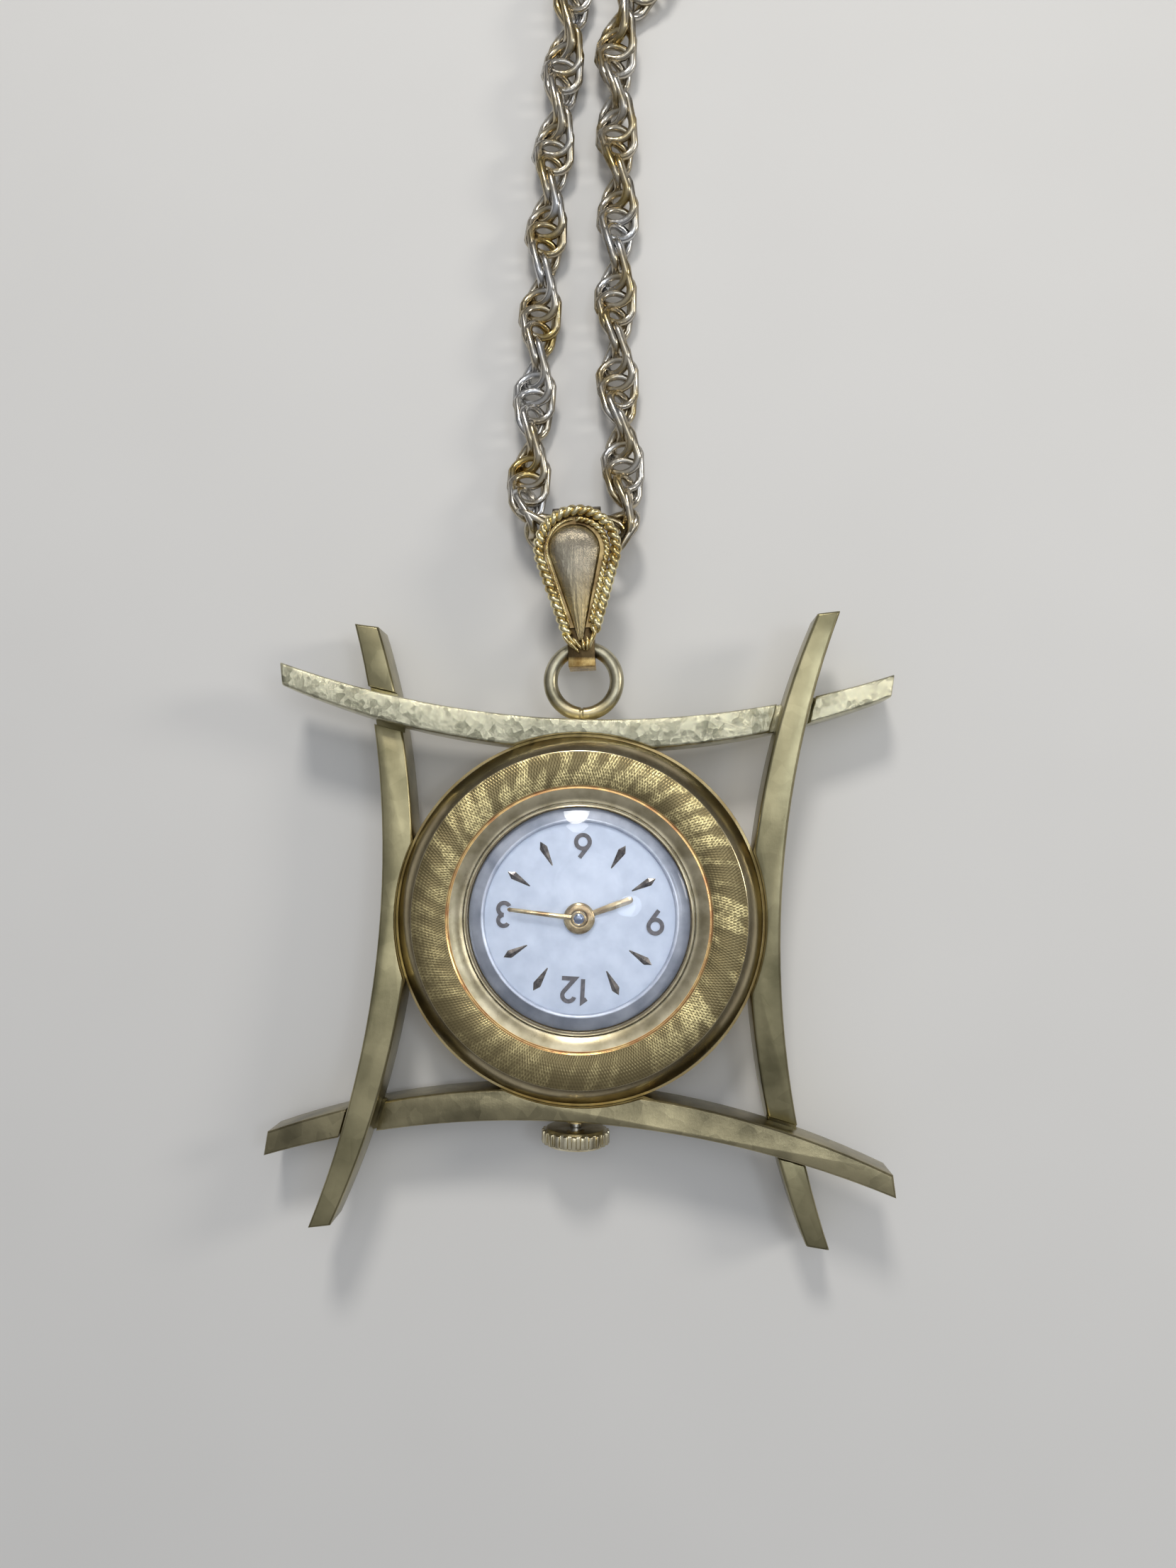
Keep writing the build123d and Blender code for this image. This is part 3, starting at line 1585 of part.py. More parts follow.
outer_tear = tear_outline(0)
inner_tear = tear_outline(rope_width)
with BuildPart() as bail_rope_border:
    with BuildSketch(bail_plane(strap_front)):
        add(outer_tear)
        add(inner_tear, mode=Mode.SUBTRACT)
    extrude(amount=rope_height - rope_step)
    with BuildSketch(bail_plane(strap_front + rope_height - rope_step)):
        add(tear_outline(rope_step))
        add(tear_outline(rope_width - rope_step), mode=Mode.SUBTRACT)
    extrude(amount=rope_step)
save(bail_rope_border, "bail_rope_border")

dome_u = -0.2
dome_radius = 1.75
dome_tip_v = 1.0
dome_tip_radius = 0.35
dome_steps = ((0, 0), (0.3, 0.55), (0.7, 0.85), (1.15, 1))  # inset, share of the rise


def dome_outline(inset):
    # the dome's own teardrop, drawn in by inset, its tip a little further
    left_share = 1 - inset / dome_radius
    tip_v = tear_v - (tear_v - dome_tip_v) * (left_share + 1) / 2
    round_end = (dome_u, tear_v)
    return arm_outline(round_end, dome_radius - inset, (0, tip_v), dome_tip_radius * left_share)


backing_tear = tear_outline(rope_width + slip)
dome_tears = [dome_outline(inset) for inset, rise_share in dome_steps]
with BuildPart() as bail_teardrop:
    with BuildSketch(bail_plane(strap_front)):
        add(backing_tear)
    extrude(amount=dome_rim)
    for dome_tear, (inset, rise_share) in zip(dome_tears, dome_steps):
        rise = rise_share * (dome_height - dome_rim)
        with BuildSketch(bail_plane(strap_front + dome_rim + rise)):
            add(dome_tear)
    loft(ruled=True)
save(bail_teardrop, "bail_teardrop")

# Necklace chain, drawn as a round tube of its outer size. Its left run goes from the bail to
# the coil and its right run from the bail to the clasp. They meet inside the bail.
chain_diameter = 2.7
chain_rest = chain_diameter / 2 + slip
arc_share = 0.45  # of the shorter run, taken by the arc at a corner
channel = (-1.1, 25.99, bar_rise + fold_h)
coil_lead = 6.2  # straight before the coil
left_route = [
    channel,
    (-2.523, 25.99, channel[2]),
    (-3.776, 26.71, 2.25),
    (-4.5, 27.97, 2.05),
    (-4.33, 30.6, 1.62),
    (-4.2, 35.4, 1.39),
    (-3.85, 44.0, chain_rest),
    (-3.4, 53.0, chain_rest),
    (-2.75, 60.5, chain_rest),
    (-2.1, 66.6, chain_rest),
    (-2.25, 73.0, chain_rest),
]
right_route = [
    channel,
    (0.85, 25.99, channel[2]),
    (1.95, 26.62, 2.25),
    (2.52, 27.72, 2.05),
    (2.3, 30.3, 1.64),
    (1.85, 35.0, 1.39),
    (1.35, 42.5, chain_rest),
    (1.5, 50.5, chain_rest),
    (1.2, 56.5, chain_rest),
    (0.95, 61.9, chain_rest),
]
right_end_run = 4.3  # straight in line with the clasp


def corner_radii(points):
    # as large an arc at each corner as its two runs allow
    radii = []
    for before, corner, after in zip(points, points[1:], points[2:]):
        run_in = Vector(corner) - Vector(before)
        run_out = Vector(after) - Vector(corner)
        half_turn = math.radians(run_in.get_angle(run_out)) / 2
        shorter = min(run_in.length, run_out.length)
        radii.append(arc_share * shorter / math.tan(half_turn))
    return radii


def chain_tube(name, points):
    radii = corner_radii(points)
    with BuildPart() as tube:
        with BuildLine() as path:
            FilletPolyline(*points, radius=radii)
        line = path.wires()[0]
        with BuildSketch(Plane(origin=line @ 0, z_dir=line % 0)):
            Circle(chain_diameter / 2)
        sweep(path=line)
    share = tube.part.volume / (math.pi * chain_diameter**2 / 4 * line.length)
    print(name, "length", round(line.length, 1), "volume share", round(share, 3))
    print(name, "radii", [round(radius, 1) for radius in radii])
    save(tube, name)
    return line.length


# Coil of the chain's put-away length: it winds in on the floor, climbs, winds out on top and
# comes down outside itself
coil_centre = (-1.1, 97.4)
coil_start_turn = 235
coil_reach = 18.35
coil_gap = 0.45
coil_layer_share = 1.15
coil_pitch = chain_diameter + coil_gap
coil_layer = chain_diameter + coil_layer_share * coil_gap
coil_half_turns = 4  # in each layer
coil_last_widening = 0.7  # of the quarter turn that comes down
coil_axis = (math.cos(math.radians(coil_start_turn)), math.sin(math.radians(coil_start_turn)))


def coil_point(step, reach, height):
    # the joints between half turns lie on one line, on alternate sides of the centre
    side = 1 if step % 2 == 0 else -1
    return Vector(
        coil_centre[0] + side * reach * coil_axis[0],
        coil_centre[1] + side * reach * coil_axis[1],
        height,
    )


def coil_heading(step):
    side = 1 if step % 2 == 0 else -1
    return Vector(side * coil_axis[1], -side * coil_axis[0], 0)


coil_joints = []
coil_climb_inset = 0.5  # the climbing half turn runs this much further in
for step in range(coil_half_turns + 1):
    reach = coil_reach - step * coil_pitch / 2
    if step == coil_half_turns:
        reach -= coil_climb_inset
    coil_joints.append((coil_point(step, reach, chain_rest), coil_heading(step)))
for step in range(coil_half_turns + 1, 2 * coil_half_turns + 2):
    reach = coil_reach - (2 * coil_half_turns + 1 - step) * coil_pitch / 2
    if step == coil_half_turns + 1:
        reach -= coil_climb_inset
    coil_joints.append((coil_point(step, reach, chain_rest + coil_layer), coil_heading(step)))
last_point, last_heading = coil_joints[-1]
last_reach = coil_reach + coil_pitch / 2 + coil_last_widening
quarter_out = Vector(-last_heading.Y, last_heading.X, 0)
quarter_centre = last_point - quarter_out * last_reach
quarter_end = quarter_centre + last_heading * last_reach - Vector(0, 0, coil_layer)
quarter_heading = quarter_out * -1
coil_joints.append((quarter_end, quarter_heading))
coil_in = coil_joints[0][0] - coil_joints[0][1] * chain_diameter
coil_out = quarter_end + quarter_heading * chain_diameter


def biarc_middle(start, start_heading, end, end_heading):
    # where the two arcs of a biarc meet, both of one tangent length
    span = end - start
    headings = start_heading + end_heading
    square = 4 - headings.dot(headings)
    half = span.dot(headings)
    tangent = (math.sqrt(half**2 + square * span.dot(span)) - half) / square
    return (start + start_heading * tangent + end - end_heading * tangent) * 0.5


with BuildPart() as chain_coil:
    with BuildLine() as coil_path:
        Line(coil_in, coil_joints[0][0])
        for (start, heading), (end, next_heading) in zip(coil_joints, coil_joints[1:]):
            middle = biarc_middle(start, heading, end, next_heading)
            first_arc = TangentArc(start, middle, tangent=heading)
            TangentArc(middle, end, tangent=first_arc % 1)
        Line(quarter_end, coil_out)
    coil_wire = coil_path.wires()[0]
    with BuildSketch(Plane(origin=coil_wire @ 0, z_dir=coil_wire % 0)):
        Circle(chain_diameter / 2)
    sweep(path=coil_wire)
save(chain_coil, "chain_coil")

coil_samples = 400
samples = [coil_wire @ (index / coil_samples) for index in range(coil_samples + 1)]
apart = math.ceil(4 * chain_diameter / (coil_wire.length / coil_samples))
least = min(
    (samples[first] - samples[second]).length
    for first in range(coil_samples + 1)
    for second in range(first + apart, coil_samples + 1)
)
coil_volume = math.pi * chain_diameter**2 / 4 * coil_wire.length
print("coil length", round(coil_wire.length, 1), "least gap", round(least - chain_diameter, 2))
print("coil volume share", round(chain_coil.part.volume / coil_volume, 3))

# Clasp: a spring ring on the line of the coil's end, a capped link on each end of the chain
clasp_mean = 2.6
clasp_wire = 0.5
clasp_wall = 0.17
clasp_height = chain_rest
tongue_wire = 0.29
link_mean = 1.05
link_wire = 0.25
link_offset = 0.25
cap_length = 1.5
cap_radius = 1.0
clasp_distance = clasp_mean + link_offset + link_mean + link_wire + cap_length
clasp_stand = 12.5  # from the end of the coil's last turn to the clasp's middle
tail_length = clasp_stand - chain_diameter - clasp_distance
tail_end = coil_out + quarter_heading * tail_length
clasp_middle = tail_end + quarter_heading * clasp_distance
clasp_turn = coil_start_turn + 70  # where the middle of the clasp's housing is
housing_half = 50  # degrees each side of the housing's middle
mouth_end = 90
slot_start = -28
slot_end = 22
tongue_start = 0
tongue_end = 93
knob_at = 14
knob_radius = 0.15

with BuildPart() as chain_tail:
    with BuildSketch(Plane(origin=coil_out, z_dir=quarter_heading)):
        Circle(chain_diameter / 2)
    extrude(amount=tail_length)
save(chain_tail, "chain_tail")
left_route.append(coil_in - coil_joints[0][1] * coil_lead)
left_route.append(coil_in)
left_length = chain_tube("chain_left_run", left_route)
right_end = clasp_middle + quarter_heading * clasp_distance
right_route.append(right_end + quarter_heading * right_end_run)
right_route.append(right_end)
right_length = chain_tube("chain_right_run", right_route)
chain_length = left_length + coil_wire.length + tail_length + right_length
print("chain length", round(chain_length, 1))


def around_clasp(angle):
    # a plane across the clasp's wire at an angle of its own
    turn = math.radians(clasp_turn + angle)
    return Plane(
        origin=(clasp_middle.X, clasp_middle.Y, clasp_height),
        x_dir=(math.cos(turn), math.sin(turn), 0),
        z_dir=(math.sin(turn), -math.cos(turn), 0),
    )


clasp_axis = Axis((clasp_middle.X, clasp_middle.Y, clasp_height), (0, 0, 1))
with BuildPart() as clasp_ring:
    with BuildSketch(around_clasp(mouth_end)):
        with Locations((clasp_mean, 0)):
            Circle(clasp_wire)
    revolve(axis=clasp_axis, revolution_arc=360 - (mouth_end - housing_half))
    with BuildSketch(around_clasp(-housing_half)):
        with Locations((clasp_mean, 0)):
            Circle(clasp_wire - clasp_wall)
    revolve(axis=clasp_axis, revolution_arc=2 * housing_half, mode=Mode.SUBTRACT)
    with BuildSketch(around_clasp(mouth_end)):
        with Locations((clasp_mean, 0)):
            Circle(clasp_wire - clasp_wall)
    revolve(axis=clasp_axis, revolution_arc=2 * (tongue_end - mouth_end), mode=Mode.SUBTRACT)
    with BuildSketch(around_clasp(slot_start)):
        with Locations((clasp_mean + clasp_wire, 0)):
            Rectangle(2 * clasp_wire, 2 * (knob_radius + 2 * run_gap))
    revolve(axis=clasp_axis, revolution_arc=slot_end - slot_start, mode=Mode.SUBTRACT)
save(clasp_ring, "clasp_ring")

with BuildPart() as clasp_tongue:
    with BuildSketch(around_clasp(tongue_start)):
        with Locations((clasp_mean, 0)):
            Circle(tongue_wire)
    revolve(axis=clasp_axis, revolution_arc=tongue_end - tongue_start)
    knob_turn = math.radians(clasp_turn + knob_at)
    knob_way = Vector(math.cos(knob_turn), math.sin(knob_turn), 0)
    knob_foot = Vector(clasp_middle.X, clasp_middle.Y, clasp_height) + knob_way * clasp_mean
    with BuildSketch(Plane(origin=knob_foot, z_dir=knob_way)):
        Circle(knob_radius)
    extrude(amount=clasp_wire + 2 * knob_radius)
save(clasp_tongue, "clasp_tongue")

with BuildPart() as chain_ends:
    for side in (1, -1):
        outward = quarter_heading * -side
        middle = clasp_middle + outward * (clasp_mean + link_offset)
        across = Vector(-outward.Y, outward.X, 0)
        link_axis = Axis(middle, across)
        with BuildSketch(Plane(origin=middle, x_dir=outward * -1, z_dir=(0, 0, 1))):
            with Locations((link_mean, 0)):
                Circle(link_wire)
        revolve(axis=link_axis)
        cap_start = middle + outward * link_mean
        with BuildSketch(Plane(origin=cap_start, z_dir=outward)):
            Circle(cap_radius)
        extrude(amount=cap_length + link_wire)
save(chain_ends, "chain_ends")
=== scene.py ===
import bpy
import bmesh
import json
import math
from mathutils import Matrix, Vector


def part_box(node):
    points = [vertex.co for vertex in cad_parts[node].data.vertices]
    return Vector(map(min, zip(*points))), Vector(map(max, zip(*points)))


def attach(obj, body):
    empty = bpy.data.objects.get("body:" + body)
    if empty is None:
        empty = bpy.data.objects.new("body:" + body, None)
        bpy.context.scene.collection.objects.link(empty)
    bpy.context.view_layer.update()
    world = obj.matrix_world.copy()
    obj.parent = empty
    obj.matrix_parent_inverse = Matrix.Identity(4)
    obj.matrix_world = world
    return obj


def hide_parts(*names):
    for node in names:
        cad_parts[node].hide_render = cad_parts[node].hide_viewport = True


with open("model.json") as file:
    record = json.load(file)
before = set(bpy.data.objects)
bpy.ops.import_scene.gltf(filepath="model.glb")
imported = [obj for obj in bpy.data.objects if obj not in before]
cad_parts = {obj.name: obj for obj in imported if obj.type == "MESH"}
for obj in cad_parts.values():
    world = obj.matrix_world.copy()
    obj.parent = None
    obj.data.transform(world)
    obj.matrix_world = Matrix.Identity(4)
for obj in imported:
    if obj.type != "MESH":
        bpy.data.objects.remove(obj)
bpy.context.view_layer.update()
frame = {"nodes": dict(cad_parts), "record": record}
mm = 0.001
print("stage: frame loaded")

# Camera at the photograph's place, above the watch and a little towards the bail
camera = {
    "place": (3.2934 * mm, 4.504 * mm, 76.3 * mm),
    "turn": (3.50657, 2.25432, 1.28186),
    "lens": 33.2875,
    "sensor": 36.0,
    "near": 1 * mm,
    "far": 20,
}
bpy.ops.object.camera_add(location=camera["place"])
cameraObject = bpy.context.object
cameraObject.name = "photoCamera"
cameraObject.rotation_euler = [math.radians(angle) for angle in camera["turn"]]
cameraObject.data.sensor_fit = "HORIZONTAL"
cameraObject.data.sensor_width = camera["sensor"]
cameraObject.data.lens = camera["lens"]
cameraObject.data.clip_start = camera["near"]
cameraObject.data.clip_end = camera["far"]
bpy.context.scene.camera = cameraObject
bpy.context.scene.view_settings.view_transform = "Standard"
print("stage: camera")


# Node helpers
def addNode(tree, kind, values=None, **settings):
    node = tree.nodes.new(kind)
    for key, value in settings.items():
        setattr(node, key, value)
    for socket, value in (values or {}).items():
        node.inputs[socket].default_value = value
    return node


def linkAll(tree, *pairs):
    for start, end in pairs:
        tree.links.new(start, end)


def addMath(tree, operation, *terms):
    # each term is a socket or a plain number
    node = addNode(tree, "ShaderNodeMath", operation=operation)
    for socket, term in zip(node.inputs, terms):
        if isinstance(term, (int, float)):
            socket.default_value = term
        else:
            tree.links.new(term, socket)
    return node.outputs["Value"]


def addRange(tree, source, values):
    node = addNode(tree, "ShaderNodeMapRange", values)
    tree.links.new(source, node.inputs["Value"])
    return node.outputs["Result"]


def addNoise(tree, values):
    # noise on the piece's Object coordinates
    place = addNode(tree, "ShaderNodeTexCoord")
    noise = addNode(tree, "ShaderNodeTexNoise", values)
    tree.links.new(place.outputs["Object"], noise.inputs["Vector"])
    return noise.outputs["Fac"]


def addRamp(tree, dark, light, darkSpot, lightSpot):
    ramp = addNode(tree, "ShaderNodeValToRGB")
    for stop, tone, spot in zip(ramp.color_ramp.elements, (dark, light), (darkSpot, lightSpot)):
        stop.position = spot
        stop.color = (*tone, 1)
    return ramp


def startMaterial(name, color, metallic, roughness):
    material = bpy.data.materials.new(name)
    material.use_nodes = True
    shader = material.node_tree.nodes["Principled BSDF"]
    shader.inputs["Base Color"].default_value = (*color, 1)
    shader.inputs["Metallic"].default_value = metallic
    shader.inputs["Roughness"].default_value = roughness
    return material, material.node_tree, shader


def dressShader(tree, shader, mask, ramp, height, strength, depth):
    # the mask picks the colour from the ramp, and the height makes the bumps
    bump = addNode(tree, "ShaderNodeBump", {"Strength": strength, "Distance": depth * mm})
    linkAll(
        tree,
        (mask, ramp.inputs["Fac"]),
        (ramp.outputs["Color"], shader.inputs["Base Color"]),
        (height, bump.inputs["Height"]),
        (bump.outputs["Normal"], shader.inputs["Normal"]),
    )


def startGroup(name, inputs, outputs):
    group = bpy.data.node_groups.new(name, "ShaderNodeTree")
    for label, value in inputs:
        socket = group.interface.new_socket(label, in_out="INPUT", socket_type="NodeSocketFloat")
        socket.default_value = value
    for label in outputs:
        group.interface.new_socket(label, in_out="OUTPUT", socket_type="NodeSocketFloat")
    return group, addNode(group, "NodeGroupInput"), addNode(group, "NodeGroupOutput")


# Shared effect: two-tone worn metal with fine scratches, on Object coordinates
wornGroup, wornIn, wornOut = startGroup(
    "wornMetal",
    (("Patch Scale", 400), ("Scratch Scale", 900), ("Scratch Stretch", 12), ("Scratch Turn", 0.5)),
    ("Patches", "Height"),
)
wornPlace = addNode(wornGroup, "ShaderNodeTexCoord")
wornPatch = addNode(wornGroup, "ShaderNodeTexNoise", {"Detail": 4})
wornStretch = addNode(wornGroup, "ShaderNodeCombineXYZ", {"Y": 1, "Z": 1})
wornTurn = addNode(wornGroup, "ShaderNodeCombineXYZ")
wornMapping = addNode(wornGroup, "ShaderNodeMapping")
wornScratch = addNode(wornGroup, "ShaderNodeTexNoise", {"Detail": 6, "Roughness": 0.7})
wornFine = addNoise(wornGroup, {"Scale": 6000})
wornHeight = addMath(wornGroup, "MULTIPLY_ADD", wornFine, 0.35, wornScratch.outputs["Fac"])
linkAll(
    wornGroup,
    (wornPlace.outputs["Object"], wornPatch.inputs["Vector"]),
    (wornIn.outputs["Patch Scale"], wornPatch.inputs["Scale"]),
    (wornPlace.outputs["Object"], wornMapping.inputs["Vector"]),
    (wornIn.outputs["Scratch Stretch"], wornStretch.inputs["X"]),
    (wornStretch.outputs["Vector"], wornMapping.inputs["Scale"]),
    (wornIn.outputs["Scratch Turn"], wornTurn.inputs["Z"]),
    (wornTurn.outputs["Vector"], wornMapping.inputs["Rotation"]),
    (wornMapping.outputs["Vector"], wornScratch.inputs["Vector"]),
    (wornIn.outputs["Scratch Scale"], wornScratch.inputs["Scale"]),
    (wornPatch.outputs["Fac"], wornOut.inputs["Patches"]),
    (wornHeight, wornOut.inputs["Height"]),
)


def wornMetal(name, dark, light, look):
    material, tree, shader = startMaterial(name, light, 1, look["roughness"])
    wornValues = {
        "Patch Scale": look["patches"],
        "Scratch Scale": look["scratches"],
        "Scratch Stretch": look["stretch"],
        "Scratch Turn": look.get("turn", 0.5),
    }
    worn = addNode(tree, "ShaderNodeGroup", wornValues, node_tree=wornGroup)
    height = worn.outputs["Height"]
    roughSpan = {"To Min": look["roughness"] * 0.7, "To Max": look["roughness"] * 1.4}
    tree.links.new(addRange(tree, height, roughSpan), shader.inputs["Roughness"])
    ramp = addRamp(tree, dark, light, 0.35, 0.65)
    dressShader(tree, shader, worn.outputs["Patches"], ramp, height, look["bump"], look["depth"])
    return material


def tonedAlong(material, start, end, tone, share):
    # mixes a second tone into a material's colour between two places on Y
    tree = material.node_tree
    shader = tree.nodes["Principled BSDF"]
    base = shader.inputs["Base Color"].links[0].from_socket
    place = addNode(tree, "ShaderNodeTexCoord")
    split = addNode(tree, "ShaderNodeSeparateXYZ")
    fade = addRange(
        tree, split.outputs["Y"], {"From Min": start * mm, "From Max": end * mm, "To Max": share}
    )
    mix = addNode(tree, "ShaderNodeMix", data_type="RGBA")
    factor, firstColor, secondColor = mix.inputs[0], mix.inputs[6], mix.inputs[7]
    secondColor.default_value = (*tone, 1)
    linkAll(
        tree,
        (place.outputs["Object"], split.inputs["Vector"]),
        (fade, factor),
        (base, firstColor),
        (mix.outputs[2], shader.inputs["Base Color"]),
    )


giltCase = wornMetal(
    "giltCase",
    (0.50, 0.37, 0.17),
    (0.72, 0.58, 0.30),
    {"roughness": 0.2, "patches": 500, "scratches": 1500, "stretch": 6, "bump": 0.15, "depth": 0.01},
)
chainGilt = wornMetal(
    "chainGilt",
    (0.46, 0.35, 0.15),
    (0.62, 0.62, 0.62),
    {"roughness": 0.2, "patches": 350, "scratches": 900, "stretch": 3, "bump": 0.2, "depth": 0.02},
)
giltBar = wornMetal(
    "giltBar",
    (0.55, 0.47, 0.27),
    (0.72, 0.65, 0.44),
    {"roughness": 0.3, "patches": 260, "scratches": 900, "stretch": 8, "bump": 0.3, "depth": 0.02},
)
giltBail = wornMetal(
    "giltBail",
    (0.14, 0.09, 0.04),
    (0.42, 0.31, 0.14),
    {"roughness": 0.26, "patches": 900, "scratches": 900, "stretch": 4, "bump": 0.2, "depth": 0.02},
)
steelPart = wornMetal(
    "steelPart",
    (0.48, 0.49, 0.51),
    (0.66, 0.67, 0.69),
    {"roughness": 0.22, "patches": 600, "scratches": 2500, "stretch": 20, "bump": 0.1, "depth": 0.005},
)
nickelPart = wornMetal(
    "nickelPart",
    (0.60, 0.58, 0.53),
    (0.74, 0.72, 0.68),
    {"roughness": 0.32, "patches": 700, "scratches": 1800, "stretch": 18, "bump": 0.2, "depth": 0.01},
)
brassPart = wornMetal(
    "brassPart",
    (0.62, 0.46, 0.18),
    (0.80, 0.63, 0.30),
    {"roughness": 0.28, "patches": 700, "scratches": 1800, "stretch": 14, "bump": 0.15, "depth": 0.01},
)
darkMarker = wornMetal(
    "darkMarker",
    (0.10, 0.09, 0.09),
    (0.28, 0.25, 0.22),
    {"roughness": 0.25, "patches": 2200, "scratches": 3000, "stretch": 3, "bump": 0.1, "depth": 0.005},
)


def speckled(name, dark, light, roughness, scale, metallic=0):
    material, tree, shader = startMaterial(name, light, metallic, roughness)
    specks = addNoise(tree, {"Scale": scale, "Detail": 8})
    dressShader(tree, shader, specks, addRamp(tree, dark, light, 0.3, 0.7), specks, 0.15, 0.01)
    return material


dialSilver = speckled("dialSilver", (0.48, 0.54, 0.65), (0.58, 0.64, 0.75), 0.42, 900, 0.25)
numeralPaint = speckled("numeralPaint", (0.07, 0.07, 0.08), (0.14, 0.13, 0.14), 0.5, 4000)
rubyStone = speckled("rubyStone", (0.35, 0.01, 0.05), (0.6, 0.03, 0.12), 0.1, 3000)
crystalClear, crystalTree, crystalShader = startMaterial("crystalClear", (0.97, 0.98, 1), 0, 0.02)
crystalShader.inputs["Transmission Weight"].default_value = 1
crystalShader.inputs["IOR"].default_value = 1.3
crystalSmear = addRange(crystalTree, addNoise(crystalTree, {"Scale": 1500}), {"To Min": 0, "To Max": 0.05})
crystalTree.links.new(crystalSmear, crystalShader.inputs["Roughness"])
slotMaterials = {
    "gilt_bar": giltBar,
    "gilt_case": giltCase,
    "gilt_hand": giltCase,
    "gilt_bail": giltBail,
    "chain_metal": chainGilt,
    "crystal": crystalClear,
    "silvered_dial": dialSilver,
    "dark_marker": darkMarker,
    "grey_paint": numeralPaint,
    "brass_part": brassPart,
    "nickel_part": nickelPart,
    "steel_part": steelPart,
    "ruby": rubyStone,
}
slotOf = {entry["node"]: entry["material_slot"] for entry in frame["record"]["subparts"]}
for nodeName, nodeObject in frame["nodes"].items():
    nodeObject.data.materials.clear()
    nodeObject.data.materials.append(slotMaterials[slotOf[nodeName]])
print("stage: materials")


# Piece helpers
def meshPiece(name, mesh):
    data = bpy.data.meshes.new(name)
    mesh.to_mesh(data)
    mesh.free()
    piece = bpy.data.objects.new(name, data)
    bpy.context.collection.objects.link(piece)
    return piece


def selectOnly(*pieces):
    bpy.ops.object.select_all(action="DESELECT")
    for piece in pieces:
        piece.select_set(True)
    bpy.context.view_layer.objects.active = pieces[0]


def fitted(piece, body, slotName, *nodes):
    # smooth shading, the body it rides on, and what it stands for
    for polygon in piece.data.polygons:
        polygon.use_smooth = True
    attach(piece, body)
    if nodes:
        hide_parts(*nodes)


def applyAll(piece):
    selectOnly(piece)
    for modifier in list(piece.modifiers):
        bpy.ops.object.modifier_apply(modifier=modifier.name)
    bpy.ops.object.transform_apply(location=True, rotation=True, scale=True)


def joined(name, pieces):
    selectOnly(*pieces)
    bpy.context.view_layer.update()
    bpy.ops.object.join()
    whole = bpy.context.object
    whole.name = name
    bpy.ops.object.transform_apply(location=True, rotation=True, scale=True)
    return whole


def lathe(name, profile, steps, materials, zones=()):
    # turns a profile of radii and heights, in millimetres, round the case axis; each zone gives the
    # next material its inner radius, outer radius and least height
    points = [(radius * mm, 0, height * mm) for radius, height in profile]
    edges = [(index, index + 1) for index in range(len(points) - 1)]
    data = bpy.data.meshes.new(name)
    data.from_pydata(points, edges, [])
    piece = bpy.data.objects.new(name, data)
    bpy.context.collection.objects.link(piece)
    screw = piece.modifiers.new("turn", "SCREW")
    screw.steps = steps
    screw.render_steps = steps
    screw.use_merge_vertices = True
    screw.merge_threshold = 0.001 * mm
    screw.use_normal_calculate = True
    applyAll(piece)
    for material in materials:
        piece.data.materials.append(material)
    for polygon in piece.data.polygons:
        place = polygon.center
        reach = math.hypot(place.x, place.y) / mm
        for index, (inner, outer, low) in enumerate(zones, start=1):
            if inner <= reach <= outer and place.z >= low * mm:
                polygon.material_index = index
    return piece


def softened(name, node, material, body, width, angle):
    # a merged copy of a CAD node, with its edges broken
    piece = frame["nodes"][node].copy()
    piece.data = frame["nodes"][node].data.copy()
    piece.name = name
    bpy.context.collection.objects.link(piece)
    selectOnly(piece)
    bpy.ops.object.mode_set(mode="EDIT")
    bpy.ops.mesh.select_all(action="SELECT")
    bpy.ops.mesh.remove_doubles(threshold=0.0005 * mm)
    bpy.ops.mesh.dissolve_limited(angle_limit=math.radians(0.5))
    bpy.ops.object.mode_set(mode="OBJECT")
    if width:
        edge = piece.modifiers.new("edge", "BEVEL")
        edge.width = width * mm
        edge.segments = 2
        edge.limit_method = "ANGLE"
        edge.angle_limit = math.radians(angle)
        bpy.ops.object.modifier_apply(modifier="edge")
    bpy.ops.object.shade_smooth_by_angle(angle=math.radians(angle))
    piece.data.materials.clear()
    piece.data.materials.append(material)
    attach(piece, body)
    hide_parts(node)


# Chain: twisted oval links, each passing through its neighbours, along the route of each run
chain = {
    "wire": 0.27 * mm,
    "halfWidth": 1.08 * mm,
    "halfStraight": 0.62 * mm,
    "pitch": 1.22 * mm,
    "nearSpread": 1.15,
    "rollStep": -36,
    "linkTwist": -50,
    "near": (22, 6),
    "far": (12, 4),
    "nearLength": 62 * mm,
    "wobble": 7,
    "wobbleStep": 2.7,
    "leftStart": 0.4 * mm,
    "rightStart": 1.9 * mm,
    "diameter": 2.7 * mm,
}
channelPoint = (-1.1, 25.99, 2.325)
leftRoute = [
    channelPoint,
    (-2.523, 25.99, 2.325),
    (-3.776, 26.71, 2.25),
    (-4.5, 27.97, 2.05),
    (-4.33, 30.6, 1.62),
    (-4.2, 35.4, 1.39),
    (-3.85, 44.0, 1.37),
    (-3.4, 53.0, 1.37),
    (-2.75, 60.5, 1.37),
    (-2.1, 66.6, 1.37),
    (-2.25, 73.0, 1.37),
    (-4.34, 77.26, 1.37),
    (-9.42, 80.82, 1.37),
]
rightRoute = [
    channelPoint,
    (0.85, 25.99, 2.325),
    (1.95, 26.62, 2.25),
    (2.52, 27.72, 2.05),
    (2.3, 30.3, 1.64),
    (1.85, 35.0, 1.39),
    (1.35, 42.5, 1.37),
    (1.5, 50.5, 1.37),
    (1.2, 56.5, 1.37),
    (0.95, 61.9, 1.37),
]
